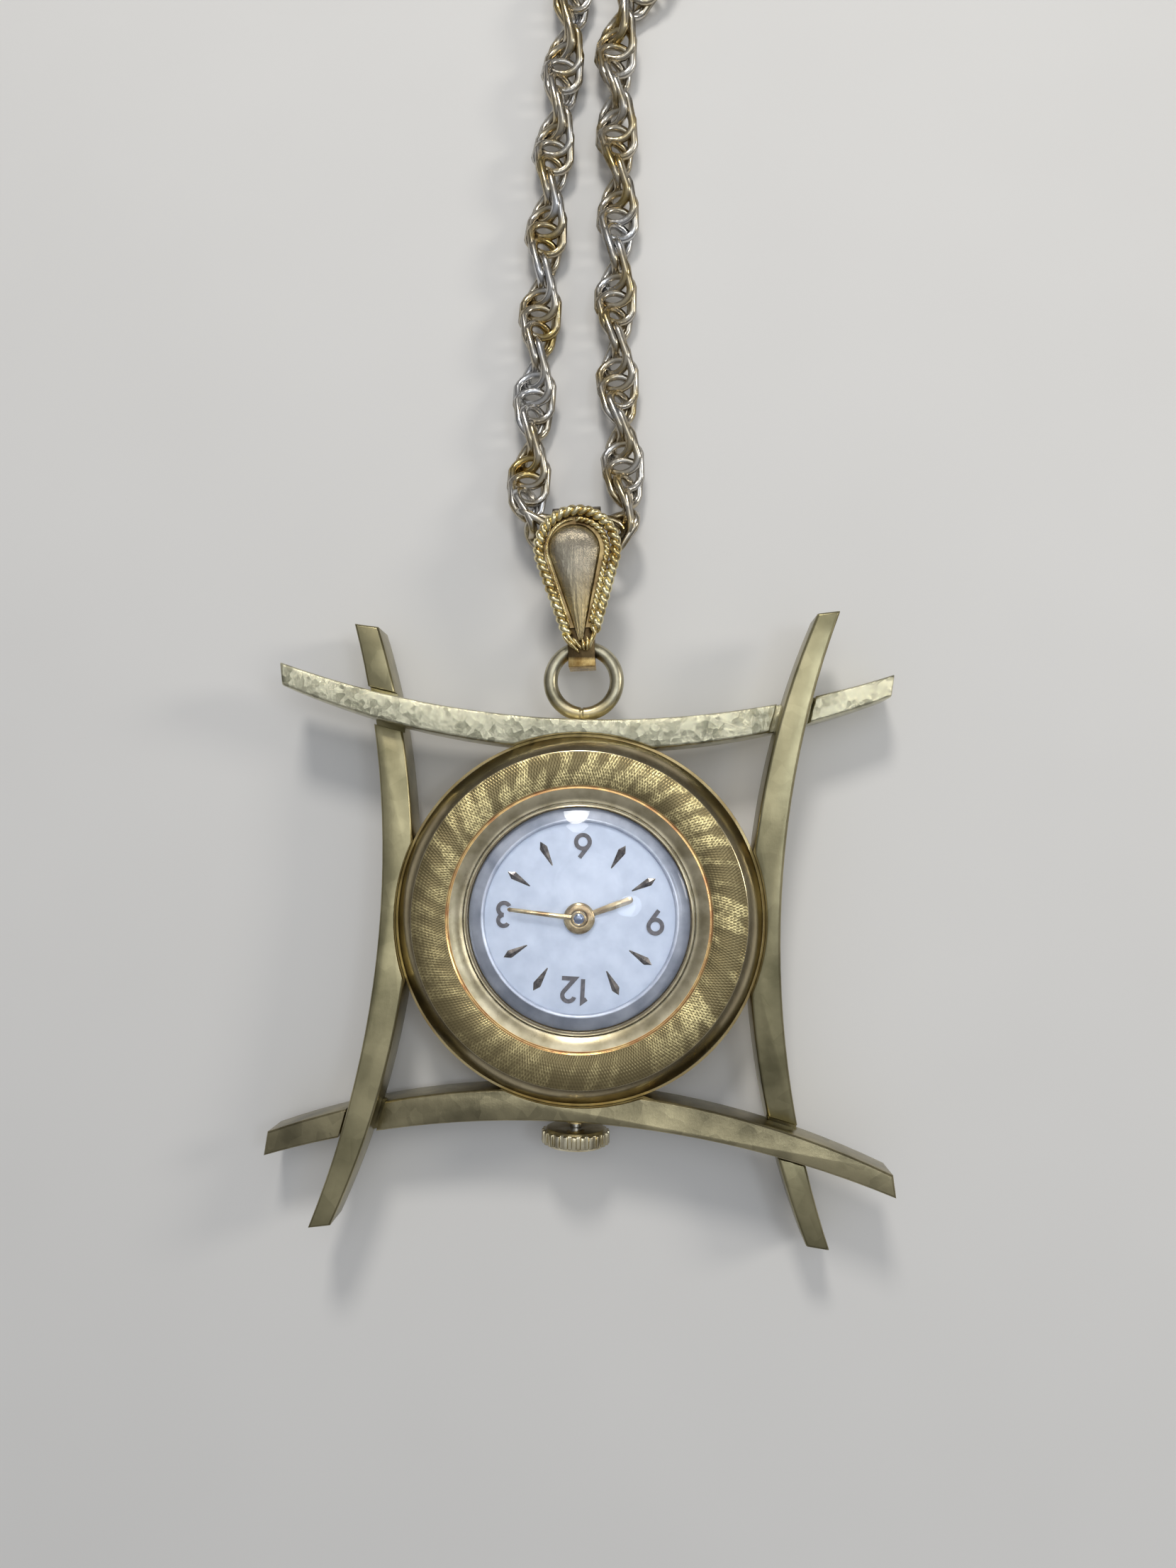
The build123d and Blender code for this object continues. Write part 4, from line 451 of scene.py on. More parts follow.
clasp = {"centre": (7.3204, 73.467, 1.37), "reach": 5.65, "tail": 6, "lead": 4.3}
coil = {
    "centre": (-1.1, 97.4),
    "start": 235,
    "reach": 18.35,
    "pitch": 3.15,
    "layer": 3.2175,
    "floor": 1.37,
    "halfTurns": 4,
    "climbInset": 0.5,
    "wayDown": 1.6,
    "pointsPerTurn": 16,
}


def coilPoints():
    # control points of the coil: in on the floor, up, out on top and down outside itself
    points = []
    stepAngle = 360 / coil["pointsPerTurn"]
    outside = 1 / math.cos(math.radians(stepAngle / 2)) ** 0.5
    last = 2 * coil["halfTurns"] + 1  # half turns before the quarter turn down
    for index in range(1, round((180 * last + 90) / stepAngle)):
        turned = index * stepAngle
        halves = turned / 180
        if halves <= coil["halfTurns"]:
            reach, height = coil["reach"] - halves * coil["pitch"] / 2, 0
        elif halves <= coil["halfTurns"] + 1:
            share = halves - coil["halfTurns"]
            reach = coil["reach"] - coil["halfTurns"] * coil["pitch"] / 2 - coil["climbInset"]
            height = coil["layer"] * share * share * (3 - 2 * share)
        elif halves <= last:
            reach, height = coil["reach"] - (last - halves) * coil["pitch"] / 2, coil["layer"]
        else:
            share = (halves - last) * 2
            reach = coil["reach"] + coil["wayDown"] * share
            height = coil["layer"] * (1 - share * share * (3 - 2 * share))
        angle = math.radians(coil["start"] - turned)
        points.append(
            (
                coil["centre"][0] + outside * reach * math.cos(angle),
                coil["centre"][1] + outside * reach * math.sin(angle),
                coil["floor"] + height,
            )
        )
    return points


claspTurn = math.radians(coil["start"])
claspWay = Vector((math.cos(claspTurn), math.sin(claspTurn), 0))
claspCentre = Vector(clasp["centre"])
tailEnd = claspCentre - claspWay * clasp["reach"]
tailStart = tailEnd - claspWay * clasp["tail"]
rightEnd = claspCentre + claspWay * clasp["reach"]
leftRoute += coilPoints() + [tuple(tailStart), tuple(tailEnd)]
rightRoute += [tuple(rightEnd + claspWay * clasp["lead"]), tuple(rightEnd)]


def routeLine(points):
    # the points that a smooth spline through this route gives
    curve = bpy.data.curves.new("route", "CURVE")
    curve.dimensions = "3D"
    curve.resolution_u = 12
    spline = curve.splines.new("NURBS")
    spline.points.add(len(points) - 1)
    for splinePoint, place in zip(spline.points, points):
        splinePoint.co = (*[value * mm for value in place], 1)
    spline.order_u = 3
    spline.use_endpoint_u = True
    holder = bpy.data.objects.new("route", curve)
    line = [vertex.co.copy() for vertex in bpy.data.meshes.new_from_object(holder).vertices]
    bpy.data.objects.remove(holder)
    return line


def placesAlong(line, pitch, offset):
    # even steps along the line, each with its place and heading
    places = []
    wanted = offset
    gone = 0
    for start, end in zip(line, line[1:]):
        run = (end - start).length
        while run > 0 and gone + run >= wanted:
            places.append((start.lerp(end, (wanted - gone) / run), (end - start).normalized()))
            wanted += pitch
        gone += run
    return places, gone


def twistedLink(segments):
    # a round wire ring pulled out to an oval and twisted along its length
    bpy.ops.mesh.primitive_torus_add(
        major_segments=segments[0],
        minor_segments=segments[1],
        major_radius=chain["halfWidth"],
        minor_radius=chain["wire"],
    )
    link = bpy.context.object
    reach = chain["halfWidth"] + chain["halfStraight"]
    for vertex in link.data.vertices:
        vertex.co.x += math.copysign(chain["halfStraight"], vertex.co.x)
        turn = math.radians(chain["linkTwist"] * vertex.co.x / reach / 2)
        vertex.co = Matrix.Rotation(turn, 3, "X") @ vertex.co
    return link


nearLink = twistedLink(chain["near"])
farLink = twistedLink(chain["far"])


def chainRun(name, line, offset):
    places, length = placesAlong(line, chain["pitch"], offset)
    mesh = bmesh.new()
    for index, (place, heading) in enumerate(places):
        side = Vector((0, 0, 1)).cross(heading).normalized()
        upward = heading.cross(side)
        turn = Matrix((heading, side, upward)).transposed().to_4x4()
        wobble = chain["wobble"] * math.sin(chain["wobbleStep"] * index)
        roll = math.radians(chain["rollStep"] * index + wobble)
        near = index * chain["pitch"] < chain["nearLength"]
        known = len(mesh.verts)
        mesh.from_mesh(nearLink.data if near else farLink.data)
        mesh.verts.ensure_lookup_table()
        bmesh.ops.transform(
            mesh,
            verts=mesh.verts[known:],
            matrix=Matrix.Translation(place)
            @ turn
            @ Matrix.Diagonal((1, chain["nearSpread"] if near else 1, 1, 1))
            @ Matrix.Rotation(roll, 4, "X"),
        )
    for face in mesh.faces:
        face.smooth = True
    run = meshPiece(name, mesh)
    run.data.materials.append(chainGilt)
    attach(run, "chain")
    return run, length


leftLine = routeLine(leftRoute)
rightLine = routeLine(rightRoute)
chainLeft, leftLength = chainRun("chainLeft", leftLine, chain["leftStart"])
chainRight, rightLength = chainRun("chainRight", rightLine, chain["rightStart"])
bpy.data.objects.remove(nearLink)
bpy.data.objects.remove(farLink)
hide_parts("chain_left_run", "chain_coil", "chain_tail")
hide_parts("chain_right_run")
print("stage: chain", round(leftLength / mm, 1), round(rightLength / mm, 1))


def hatchedGoldPaintedGlint():
    # fine lines in two directions across the flat of the bezel, with painted glints: bright gold painted
    # into the colour in patches and specks along the line crests, stronger at the right and top of the
    # ring as painted light
    look = {
        "dark": (0.25, 0.20, 0.10),
        "bright": (1, 0.84, 0.42),
        "lines": 340,
        "fans": 44,
        "slant": 0.42,
        "fanHeight": 1.2,
        "specks": 5200,
        "patches": 480,
        "patchSpread": 2.2,
        "bump": 0.7,
        "depth": 0.012,
        # painted light: levels of the painted glints round the ring, from the left through the bottom,
        # right and top; lighter at the right and top, darker at the left and bottom
        "paintedLightSectors": (
            (0.0, 0.3),
            (1.0, 0.3),
            (0.08, 0.22),
            (0.33, 0.25),
            (0.37, 0.4),
            (0.395, 1),
            (0.42, 0.45),
            (0.47, 0.75),
            (0.62, 1),
            (0.68, 0.6),
            (0.74, 0.9),
            (0.9, 0.9),
            (0.96, 0.4),
        ),
    }
    material, tree, shader = startMaterial("hatchedGoldPaintedGlint", (0.6, 0.5, 0.3), 1, 0.33)
    place = addNode(tree, "ShaderNodeTexCoord")
    split = addNode(tree, "ShaderNodeSeparateXYZ")
    flat = addNode(tree, "ShaderNodeCombineXYZ")
    reach = addNode(tree, "ShaderNodeVectorMath", operation="LENGTH")
    linkAll(
        tree,
        (place.outputs["Object"], split.inputs["Vector"]),
        (split.outputs["X"], flat.inputs["X"]),
        (split.outputs["Y"], flat.inputs["Y"]),
        (flat.outputs["Vector"], reach.inputs[0]),
    )
    angle = addMath(tree, "ARCTAN2", split.outputs["Y"], split.outputs["X"])
    reachLog = addMath(tree, "LOGARITHM", reach.outputs["Value"], math.e)

    def wave(count, slant):
        turned = addMath(tree, "MULTIPLY_ADD", reachLog, slant, angle)
        return addMath(tree, "SINE", addMath(tree, "MULTIPLY", turned, count))

    fan = wave(look["fans"], look["slant"])
    lines = addMath(
        tree, "MAXIMUM", wave(look["lines"], look["slant"]), wave(look["lines"], -look["slant"])
    )
    specks = addRange(
        tree,
        addNoise(tree, {"Scale": look["specks"], "Detail": 2}),
        {"From Min": 0.42, "From Max": 0.6, "To Min": 0.3, "To Max": 1.3},
    )
    paintedLightSectors = addNode(tree, "ShaderNodeValToRGB")
    stops = paintedLightSectors.color_ramp.elements
    for index, (spot, level) in enumerate(look["paintedLightSectors"]):
        stop = stops[index] if index < 2 else stops.new(spot)
        stop.position = spot
        stop.color = (level, level, level, 1)
    wholeTurn = addRange(tree, angle, {"From Min": -math.pi, "From Max": math.pi})
    tree.links.new(wholeTurn, paintedLightSectors.inputs["Fac"])
    unevenness = addRange(
        tree,
        addNoise(tree, {"Scale": look["patches"], "Detail": 5}),
        {"From Min": 0.3, "From Max": 0.7, "To Min": -look["patchSpread"], "To Max": look["patchSpread"]},
    )
    # painted glints: gold painted in patches and specks on the line crests, where the hatching would catch
    # the light
    patches = addRange(tree, addMath(tree, "ADD", fan, unevenness), {"From Min": -0.5, "From Max": 0.8})
    crest = addRange(tree, lines, {"From Min": 0.1, "From Max": 0.95, "To Min": 0.15})
    paintedGlint = addMath(tree, "MULTIPLY", patches, specks)
    for factor in (paintedLightSectors.outputs["Color"], crest):
        paintedGlint = addMath(tree, "MULTIPLY", paintedGlint, factor)
    ramp = addRamp(tree, look["dark"], look["bright"], 0, 0.8)
    height = addMath(tree, "MULTIPLY_ADD", fan, look["fanHeight"], lines)
    dressShader(tree, shader, paintedGlint, ramp, height, look["bump"], look["depth"])
    return material


bezelPolish = wornMetal(
    "bezelPolish",
    (0.44, 0.36, 0.22),
    (0.60, 0.52, 0.34),
    {"roughness": 0.17, "patches": 400, "scratches": 1200, "stretch": 5, "bump": 0.15, "depth": 0.01},
)
slopePolish = wornMetal(
    "slopePolish",
    (0.34, 0.29, 0.18),
    (0.58, 0.51, 0.35),
    {"roughness": 0.26, "patches": 800, "scratches": 1600, "stretch": 4, "bump": 0.2, "depth": 0.01},
)
edgeGlow = wornMetal(
    "edgeGlow",
    (0.60, 0.30, 0.13),
    (0.95, 0.66, 0.28),
    {"roughness": 0.2, "patches": 900, "scratches": 1600, "stretch": 4, "bump": 0.1, "depth": 0.01},
)
steelRing = speckled("steelRing", (0.34, 0.38, 0.47), (0.62, 0.66, 0.75), 0.32, 700, 0.35)

# Bezel: upright edge, polished bevel, hatched flat with painted glints, bright bead and polished inner
# slope
bezel = {
    "profile": (
        (8.62, 4.36),
        (11.9, 4.36),
        (11.99, 4.42),
        (11.99, 4.58),
        (11.95, 4.64),
        (10.99, 5.56),
        (10.93, 5.595),
        (8.70, 5.595),
        (8.64, 5.55),
        (8.60, 5.50),
        (8.55, 5.535),
        (8.48, 5.53),
        (7.66, 5.25),
        (7.61, 5.20),
        (7.61, 4.79),
        (8.62, 4.79),
        (8.62, 4.36),
    ),
    "steps": 256,
    "zones": ((8.7, 10.95, 5.5), (8.5, 8.7, 5.4), (7.6, 8.5, 5.1)),
}
bezelRing = lathe(
    "bezelRing",
    bezel["profile"],
    bezel["steps"],
    [bezelPolish, hatchedGoldPaintedGlint(), edgeGlow, slopePolish],
    bezel["zones"],
)
fitted(bezelRing, "case", "gilt_case", "bezel")

# Crystal: a dome with a thick, rounded edge, and the steel ring that holds it
crystal = {
    "edge": 7.57,
    "inside": 6.75,
    "low": 4.88,
    "top": 7.34,
    "inner": 6.4,
    "rise": 1.74,
    "domed": 0.965,
    "rings": 24,
    "steps": 128,
}
domeProfile = []
for index in range(crystal["rings"] + 1):
    radius = crystal["edge"] * crystal["domed"] * index / crystal["rings"]
    domeProfile.append((radius, crystal["top"] - crystal["rise"] * (radius / crystal["edge"]) ** 2))
domeProfile += [(7.45, 5.45), (7.56, 5.25), (crystal["edge"], crystal["low"])]
innerRise = crystal["inner"] - crystal["low"]
for index in range(crystal["rings"], -1, -1):
    radius = crystal["inside"] * index / crystal["rings"]
    domeProfile.append((radius, crystal["inner"] - innerRise * (radius / crystal["inside"]) ** 2))
crystalDome = lathe("crystalDome", domeProfile, crystal["steps"], [crystalClear])
fitted(crystalDome, "case", "crystal", "crystal")
crystalDome.visible_shadow = False
surround = {
    "profile": (
        (7.56, 4.76),
        (7.56, 4.85),
        (6.72, 4.86),
        (6.69, 5.02),
        (6.60, 5.05),
        (6.47, 4.92),
        (6.44, 4.76),
        (7.56, 4.76),
    ),
    "steps": 192,
}
dialSurround = lathe("dialSurround", surround["profile"], surround["steps"], [steelRing])
fitted(dialSurround, "case", "steel_part")
print("stage: bezel and crystal")


def ridged(name, angle, stations, low):
    # a bar along a direction, with a ridge: each station gives reach, half width and height, in
    # millimetres, above the metre height low
    along = Vector((math.cos(angle), math.sin(angle), 0))
    across = Vector((-along.y, along.x, 0))
    mesh = bmesh.new()
    rows = []
    for reach, half, height in stations:
        middle = along * reach * mm + Vector((0, 0, low))
        rows.append(
            [
                mesh.verts.new(middle - across * half * mm),
                mesh.verts.new(middle + Vector((0, 0, height * mm))),
                mesh.verts.new(middle + across * half * mm),
            ]
        )
    for before, after in zip(rows, rows[1:]):
        mesh.faces.new((before[0], after[0], after[1], before[1]))
        mesh.faces.new((before[1], after[1], after[2], before[2]))
        mesh.faces.new((before[2], after[2], after[0], before[0]))
    mesh.faces.new(rows[0])
    mesh.faces.new(rows[-1][::-1])
    bmesh.ops.remove_doubles(mesh, verts=mesh.verts, dist=0.002 * mm)
    bmesh.ops.recalc_face_normals(mesh, faces=mesh.faces)
    return meshPiece(name, mesh)


# Hour darts with a ridge along the middle
dart = {
    "turn": -91.4,
    "lift": 0.003 * mm,
    "stations": ((3.95, 0.04, 0.03), (5.2, 0.26, 0.11), (5.3, 0.27, 0.11), (5.75, 0.01, 0.02)),
}
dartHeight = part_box("dial")[1][2] + dart["lift"]
darts = []
for hour in (1, 2, 4, 5, 7, 8, 10, 11):
    darts.append(ridged("dart", math.radians(dart["turn"] - 30 * hour), dart["stations"], dartHeight))
hourDarts = joined("hourDarts", darts)
hourDarts.data.materials.append(darkMarker)
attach(hourDarts, "case")
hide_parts("dial_markers")

# Hands: ridged sticks on bosses
blueSteel = wornMetal(
    "blueSteel",
    (0.20, 0.24, 0.33),
    (0.42, 0.47, 0.58),
    {"roughness": 0.15, "patches": 2500, "scratches": 3500, "stretch": 3, "bump": 0.1, "depth": 0.003},
)
handGilt = wornMetal(
    "handGilt",
    (0.34, 0.23, 0.12),
    (0.74, 0.60, 0.36),
    {"roughness": 0.18, "patches": 1200, "scratches": 2500, "stretch": 3, "bump": 0.15, "depth": 0.005},
)
hands = {
    "minuteTurn": 174.1,
    "minuteLift": 0.02 * mm,
    "minuteStations": (
        (0.3, 0.17, 0.1),
        (4.0, 0.14, 0.1),
        (4.5, 0.13, 0.1),
        (4.72, 0.14, 0.13),
        (4.83, 0.06, 0.04),
    ),
    "hourTurn": 21,
    "hourLift": 0.01 * mm,
    "hourStations": (
        (0.7, 0.18, 0.1),
        (2.2, 0.23, 0.13),
        (3.55, 0.23, 0.12),
        (3.72, 0.17, 0.1),
        (3.8, 0.07, 0.03),
    ),
    "bossSteps": 48,
    "arborReach": 0.32 * mm,
    "arborDepth": 0.2 * mm,
}
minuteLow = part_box("minute_hand")[0][2]
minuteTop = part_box("minute_hand")[1][2]
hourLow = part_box("hour_hand")[0][2]
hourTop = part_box("hour_hand")[1][2]
minuteStick = ridged(
    "minuteStick",
    math.radians(hands["minuteTurn"]),
    hands["minuteStations"],
    minuteLow + hands["minuteLift"],
)
hourStick = ridged(
    "hourStick", math.radians(hands["hourTurn"]), hands["hourStations"], hourLow + hands["hourLift"]
)
minuteFoot, minuteCap = minuteLow / mm, minuteTop / mm
minuteBoss = lathe(
    "minuteBoss",
    (
        (0.3, minuteFoot),
        (0.5, minuteFoot),
        (0.53, minuteFoot + 0.06),
        (0.53, minuteCap - 0.12),
        (0.47, minuteCap - 0.02),
        (0.38, minuteCap - 0.01),
        (0.34, minuteCap - 0.08),
        (0.3, minuteCap - 0.05),
        (0.2, minuteCap - 0.01),
        (0.1, minuteCap),
        (0, minuteCap),
    ),
    hands["bossSteps"],
    [],
)
hourFoot, hourCap = hourLow / mm, hourTop / mm
hourBoss = lathe(
    "hourBoss",
    (
        (0.45, hourFoot),
        (1.0, hourFoot),
        (1.05, hourFoot + 0.04),
        (1.02, hourFoot + 0.1),
        (0.85, hourCap - 0.02),
        (0.7, hourCap),
        (0.5, hourCap),
        (0.45, hourCap - 0.03),
    ),
    hands["bossSteps"],
    [],
)
minuteHand = joined("minuteHand", [minuteStick, minuteBoss])
minuteHand.data.materials.append(handGilt)
minuteHand.data.materials.append(blueSteel)
for polygon in minuteHand.data.polygons:
    reach = math.hypot(polygon.center.x, polygon.center.y)
    if reach < hands["arborReach"] and polygon.center.z > minuteTop - hands["arborDepth"]:
        polygon.material_index = 1
hourHand = joined("hourHand", [hourStick, hourBoss])
hourHand.data.materials.append(handGilt)
for hand, body, node in ((minuteHand, "centre", "minute_hand"), (hourHand, "hour", "hour_hand")):
    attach(hand, body)
    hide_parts(node)
print("stage: dial")

# Shared effect: hammered facets and sanding lines for the bars
hammerGroup, hammerIn, hammerOut = startGroup(
    "hammered", (("Facet Scale", 1500), ("Line Scale", 2500)), ("Tone", "Height")
)
hammerPlace = addNode(hammerGroup, "ShaderNodeTexCoord")
hammerCells = addNode(hammerGroup, "ShaderNodeTexVoronoi", {"Randomness": 1})
hammerNoise = addNode(hammerGroup, "ShaderNodeTexNoise", {"Detail": 8, "Roughness": 0.7})
hammerSplit = addNode(hammerGroup, "ShaderNodeSeparateColor")
hammerHeight = addMath(hammerGroup, "ADD", hammerCells.outputs["Distance"], hammerNoise.outputs["Fac"])
linkAll(
    hammerGroup,
    (hammerPlace.outputs["Object"], hammerCells.inputs["Vector"]),
    (hammerIn.outputs["Facet Scale"], hammerCells.inputs["Scale"]),
    (hammerPlace.outputs["Object"], hammerNoise.inputs["Vector"]),
    (hammerIn.outputs["Line Scale"], hammerNoise.inputs["Scale"]),
    (hammerCells.outputs["Color"], hammerSplit.inputs["Color"]),
    (hammerSplit.outputs["Red"], hammerOut.inputs["Tone"]),
    (hammerHeight, hammerOut.inputs["Height"]),
)


def hammeredGilt(name, dark, light, look):
    material, tree, shader = startMaterial(name, light, 1, look["roughness"])
    hammerValues = {"Facet Scale": look["facets"], "Line Scale": look["lines"]}
    wornValues = {"Patch Scale": look["patches"], "Scratch Scale": 900, "Scratch Stretch": 5}
    hammer = addNode(tree, "ShaderNodeGroup", hammerValues, node_tree=hammerGroup)
    worn = addNode(tree, "ShaderNodeGroup", wornValues, node_tree=wornGroup)
    tone = addMath(tree, "MULTIPLY_ADD", hammer.outputs["Tone"], look["tone"], worn.outputs["Patches"])
    height = addMath(tree, "ADD", hammer.outputs["Height"], worn.outputs["Height"])
    ramp = addRamp(tree, dark, light, 0.35, 0.75)
    dressShader(tree, shader, tone, ramp, height, look["bump"], look["depth"])
    return material


# Bars of the frame; the top bar's gilt is painted lighter and the bottom bar's painted darker than the
# side bars', as painted light and painted shade from the lamp side, while the top bar's hammered finish is
# its own
bars = {
    "edge": 0.18,
    "angle": 35,
    "top": {
        "roughness": 0.24,
        "facets": 2300,
        "lines": 4200,
        "patches": 500,
        "tone": 0.4,
        "bump": 0.8,
        "depth": 0.05,
    },
    "sides": {
        "roughness": 0.3,
        "facets": 900,
        "lines": 5000,
        "patches": 260,
        "tone": 0.08,
        "bump": 0.2,
        "depth": 0.02,
    },
    "bottom": {
        "roughness": 0.3,
        "facets": 1100,
        "lines": 3500,
        "patches": 300,
        "tone": 0.15,
        "bump": 0.3,
        "depth": 0.03,
    },
}
# top bar colour partly painted light, partly its own hammered finish; bottom bar colour a darker copy of
# the side bars' gilt as painted shade
topGiltPaintedLight = hammeredGilt("topGiltPaintedLight", (0.25, 0.24, 0.16), (0.68, 0.65, 0.47), bars["top"])
satinGilt = hammeredGilt("satinGilt", (0.20, 0.18, 0.10), (0.44, 0.39, 0.23), bars["sides"])
bottomGiltPaintedShade = hammeredGilt("bottomGiltPaintedShade", (0.17, 0.15, 0.09), (0.40, 0.35, 0.21), bars["bottom"])
for name, node, material in (
    ("topBar", "top_bar", topGiltPaintedLight),
    ("bottomBar", "bottom_bar", bottomGiltPaintedShade),
    ("leftBar", "left_bar", satinGilt),
    ("rightBar", "right_bar", satinGilt),
):
    softened(name, node, material, "case", bars["edge"], bars["angle"])
print("stage: bars")

# Jump ring: brushed wire with the split and the solder beside the top bar
ring = {
    "mean": 2.24 * mm,
    "wire": 0.48 * mm,
    "x": -0.12 * mm,
    "segments": (144, 20),
    "splitAt": -92,
    "splitHalf": 1.3,
    "splitDepth": 0.74,
    "solderAt": -90,
    "solderSpan": 26,
    "solderFlat": 0.06,
}
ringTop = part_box("jump_ring")[1]
ringCentre = (ring["x"], ringTop[1] - ring["mean"] - ring["wire"], ringTop[2] - ring["wire"])
bpy.ops.mesh.primitive_torus_add(
    location=ringCentre,
    major_segments=ring["segments"][0],
    minor_segments=ring["segments"][1],
    major_radius=ring["mean"],
    minor_radius=ring["wire"],
)
jumpRing = bpy.context.object
jumpRing.name = "jumpRing"
for vertex in jumpRing.data.vertices:
    around = math.atan2(vertex.co.y, vertex.co.x)
    centre = Vector((math.cos(around), math.sin(around), 0)) * ring["mean"]
    around = math.degrees(around)
    if abs(around - ring["splitAt"]) < ring["splitHalf"]:
        vertex.co = centre + (vertex.co - centre) * ring["splitDepth"]
    elif abs(around - ring["solderAt"]) < ring["solderSpan"]:
        share = math.cos(math.radians((around - ring["solderAt"]) / ring["solderSpan"] * 90))
        vertex.co.y = centre.y + (vertex.co.y - centre.y) * (1 - ring["solderFlat"] * share)
bpy.ops.object.transform_apply(location=True, rotation=True, scale=True)
ringGilt = wornMetal(
    "ringGilt",
    (0.26, 0.23, 0.14),
    (0.56, 0.52, 0.38),
    {"roughness": 0.28, "patches": 700, "scratches": 2200, "stretch": 6, "bump": 0.5, "depth": 0.012},
)
tonedAlong(ringGilt, 14.6, 13.2, (0.86, 0.7, 0.38), 0.8)
jumpRing.data.materials.append(ringGilt)
fitted(jumpRing, "case", "gilt_case", "jump_ring")

# Bail: its own frame has u across, v along and h out of the dial
bail = {
    "origin": (-0.3, 18.11, 3.4),
    "lean": 3.5,
    "front": 1.0,
    "tearV": 6.5,
    "tearRadius": 3.0,
    "tipV": 0.6,
    "tipRadius": 1.1,
    "arcSteps": 48,
    "flankSteps": 12,
    "edge": 0.07,
    "angle": 35,
}
bailTurn = math.radians(bail["lean"])
bailAcross = Vector((math.cos(bailTurn), math.sin(bailTurn), 0))
bailAlong = Vector((-math.sin(bailTurn), math.cos(bailTurn), 0))


def bailPoint(u, v, h):
    base = Vector(bail["origin"]) + Vector((0, 0, h))
    return (base + bailAcross * u + bailAlong * v) * mm


def tearLine(inset):
    # points of a teardrop outline this far inside the bail's own, from the tip round and back
    left = 1 - inset / bail["tearRadius"]
    large = bail["tearRadius"] - inset
    small = bail["tipRadius"] * left
    tipV = bail["tearV"] - (bail["tearV"] - bail["tipV"]) * (left + 1) / 2
    lean = math.asin((large - small) / (bail["tearV"] - tipV))
    arc, flank = bail["arcSteps"], bail["flankSteps"]
    circles = [(math.pi + lean, index / flank) for index in range(flank)]
    circles += [(math.pi + lean - (math.pi + 2 * lean) * index / arc, 1) for index in range(arc + 1)]
    circles += [(-lean, 1 - index / flank) for index in range(1, flank + 1)]
    points = []
    for angle, share in circles:
        v = tipV + (bail["tearV"] - tipV) * share
        radius = small + (large - small) * share
        points.append((radius * math.cos(angle), v + radius * math.sin(angle)))
    return points


# Twisted rope border, and the leaves that end it
rope = {
    "step": 0.09,
    "thinnest": 0.8,
    "thicker": 0.05,
    "outer": {"strand": 0.21, "offset": 0.19, "pitch": 1.1, "high": 0.4},
    "inner": {"strand": 0.12, "offset": 0.1, "pitch": 0.75, "high": 0.4},
    "bead": {"strand": 0.05, "offset": 0.04, "pitch": 0.4, "high": 0.33},
    "outerInset": 0.41,
    "innerInset": 1.02,
    "beadInset": 0.97,
    "leafHalf": 0.13,
    "leafHigh": 0.26,
    "leafLift": 0.48,
    "leaves": (
        (-0.86, 0.2, 38, 0.62),
        (-0.62, 0.34, 36, 0.56),
        (-0.5, -0.12, 40, 0.58),
        (-0.24, 0.06, 34, 0.5),
        (0.16, 0.0, 6, 0.44),
        (0.44, 0.06, -4, 0.52),
        (0.7, 0.22, -14, 0.56),
        (0.92, 0.6, -18, 0.56),
    ),
}


def twistedRope(name, line, look):
    # two strands turned round a line in the bail's own frame, thinner towards both ends
    route = [Vector((u, v, bail["front"] + look["high"])) for u, v in line]
    places = placesAlong(route, rope["step"], 0)[0]
    count = len(places)
    strands = []
    for strand in range(2):
        curve = bpy.data.curves.new(name, "CURVE")
        curve.dimensions = "3D"
        curve.bevel_depth = look["strand"] * mm
        curve.bevel_resolution = 2
        curve.use_fill_caps = True
        spline = curve.splines.new("POLY")
        spline.points.add(count - 1)
        for index, (place, heading) in enumerate(places):
            out = Vector((heading.y, -heading.x, 0))
            turn = 2 * math.pi * index * rope["step"] / look["pitch"] + strand * math.pi
            spot = place + look["offset"] * (math.cos(turn) * out + Vector((0, 0, math.sin(turn))))
            fromEnd = min(index, count - 1 - index)
            spline.points[index].co = (*bailPoint(*spot), 1)
            spline.points[index].radius = min(1, rope["thinnest"] + rope["thicker"] * fromEnd)
        holder = bpy.data.objects.new(name, curve)
        bpy.context.collection.objects.link(holder)
        selectOnly(holder)
        bpy.ops.object.convert(target="MESH")
        strands.append(bpy.context.object)
    return strands


# the outer rope goes all round, the inner one from the crown down one flank, a bead down the other
crownIndex = bail["flankSteps"] + bail["arcSteps"] // 2
ropePieces = twistedRope("outerRope", tearLine(rope["outerInset"]), rope["outer"])
ropePieces += twistedRope("innerRope", tearLine(rope["innerInset"])[crownIndex:], rope["inner"])
ropePieces += twistedRope("beadRope", tearLine(rope["beadInset"])[:crownIndex], rope["bead"])
for u, v, turn, long in rope["leaves"]:
    bpy.ops.mesh.primitive_ico_sphere_add(subdivisions=3, radius=mm)
    leaf = bpy.context.object
    leaf.scale = (rope["leafHalf"], long, rope["leafHigh"])
    leaf.rotation_euler = (0, 0, bailTurn + math.radians(turn))
    leaf.location = bailPoint(u, v, bail["front"] + rope["leafLift"])
    ropePieces.append(leaf)
bailBorder = joined("bailBorder", ropePieces)
ropeGilt = wornMetal(
    "ropeGilt",
    (0.55, 0.42, 0.18),
    (0.95, 0.86, 0.55),
    {"roughness": 0.18, "patches": 900, "scratches": 3000, "stretch": 3, "bump": 0.5, "depth": 0.02},
)
bailBorder.data.materials.clear()
bailBorder.data.materials.append(ropeGilt)
fitted(bailBorder, "bail", "gilt_bail", "bail_rope_border")

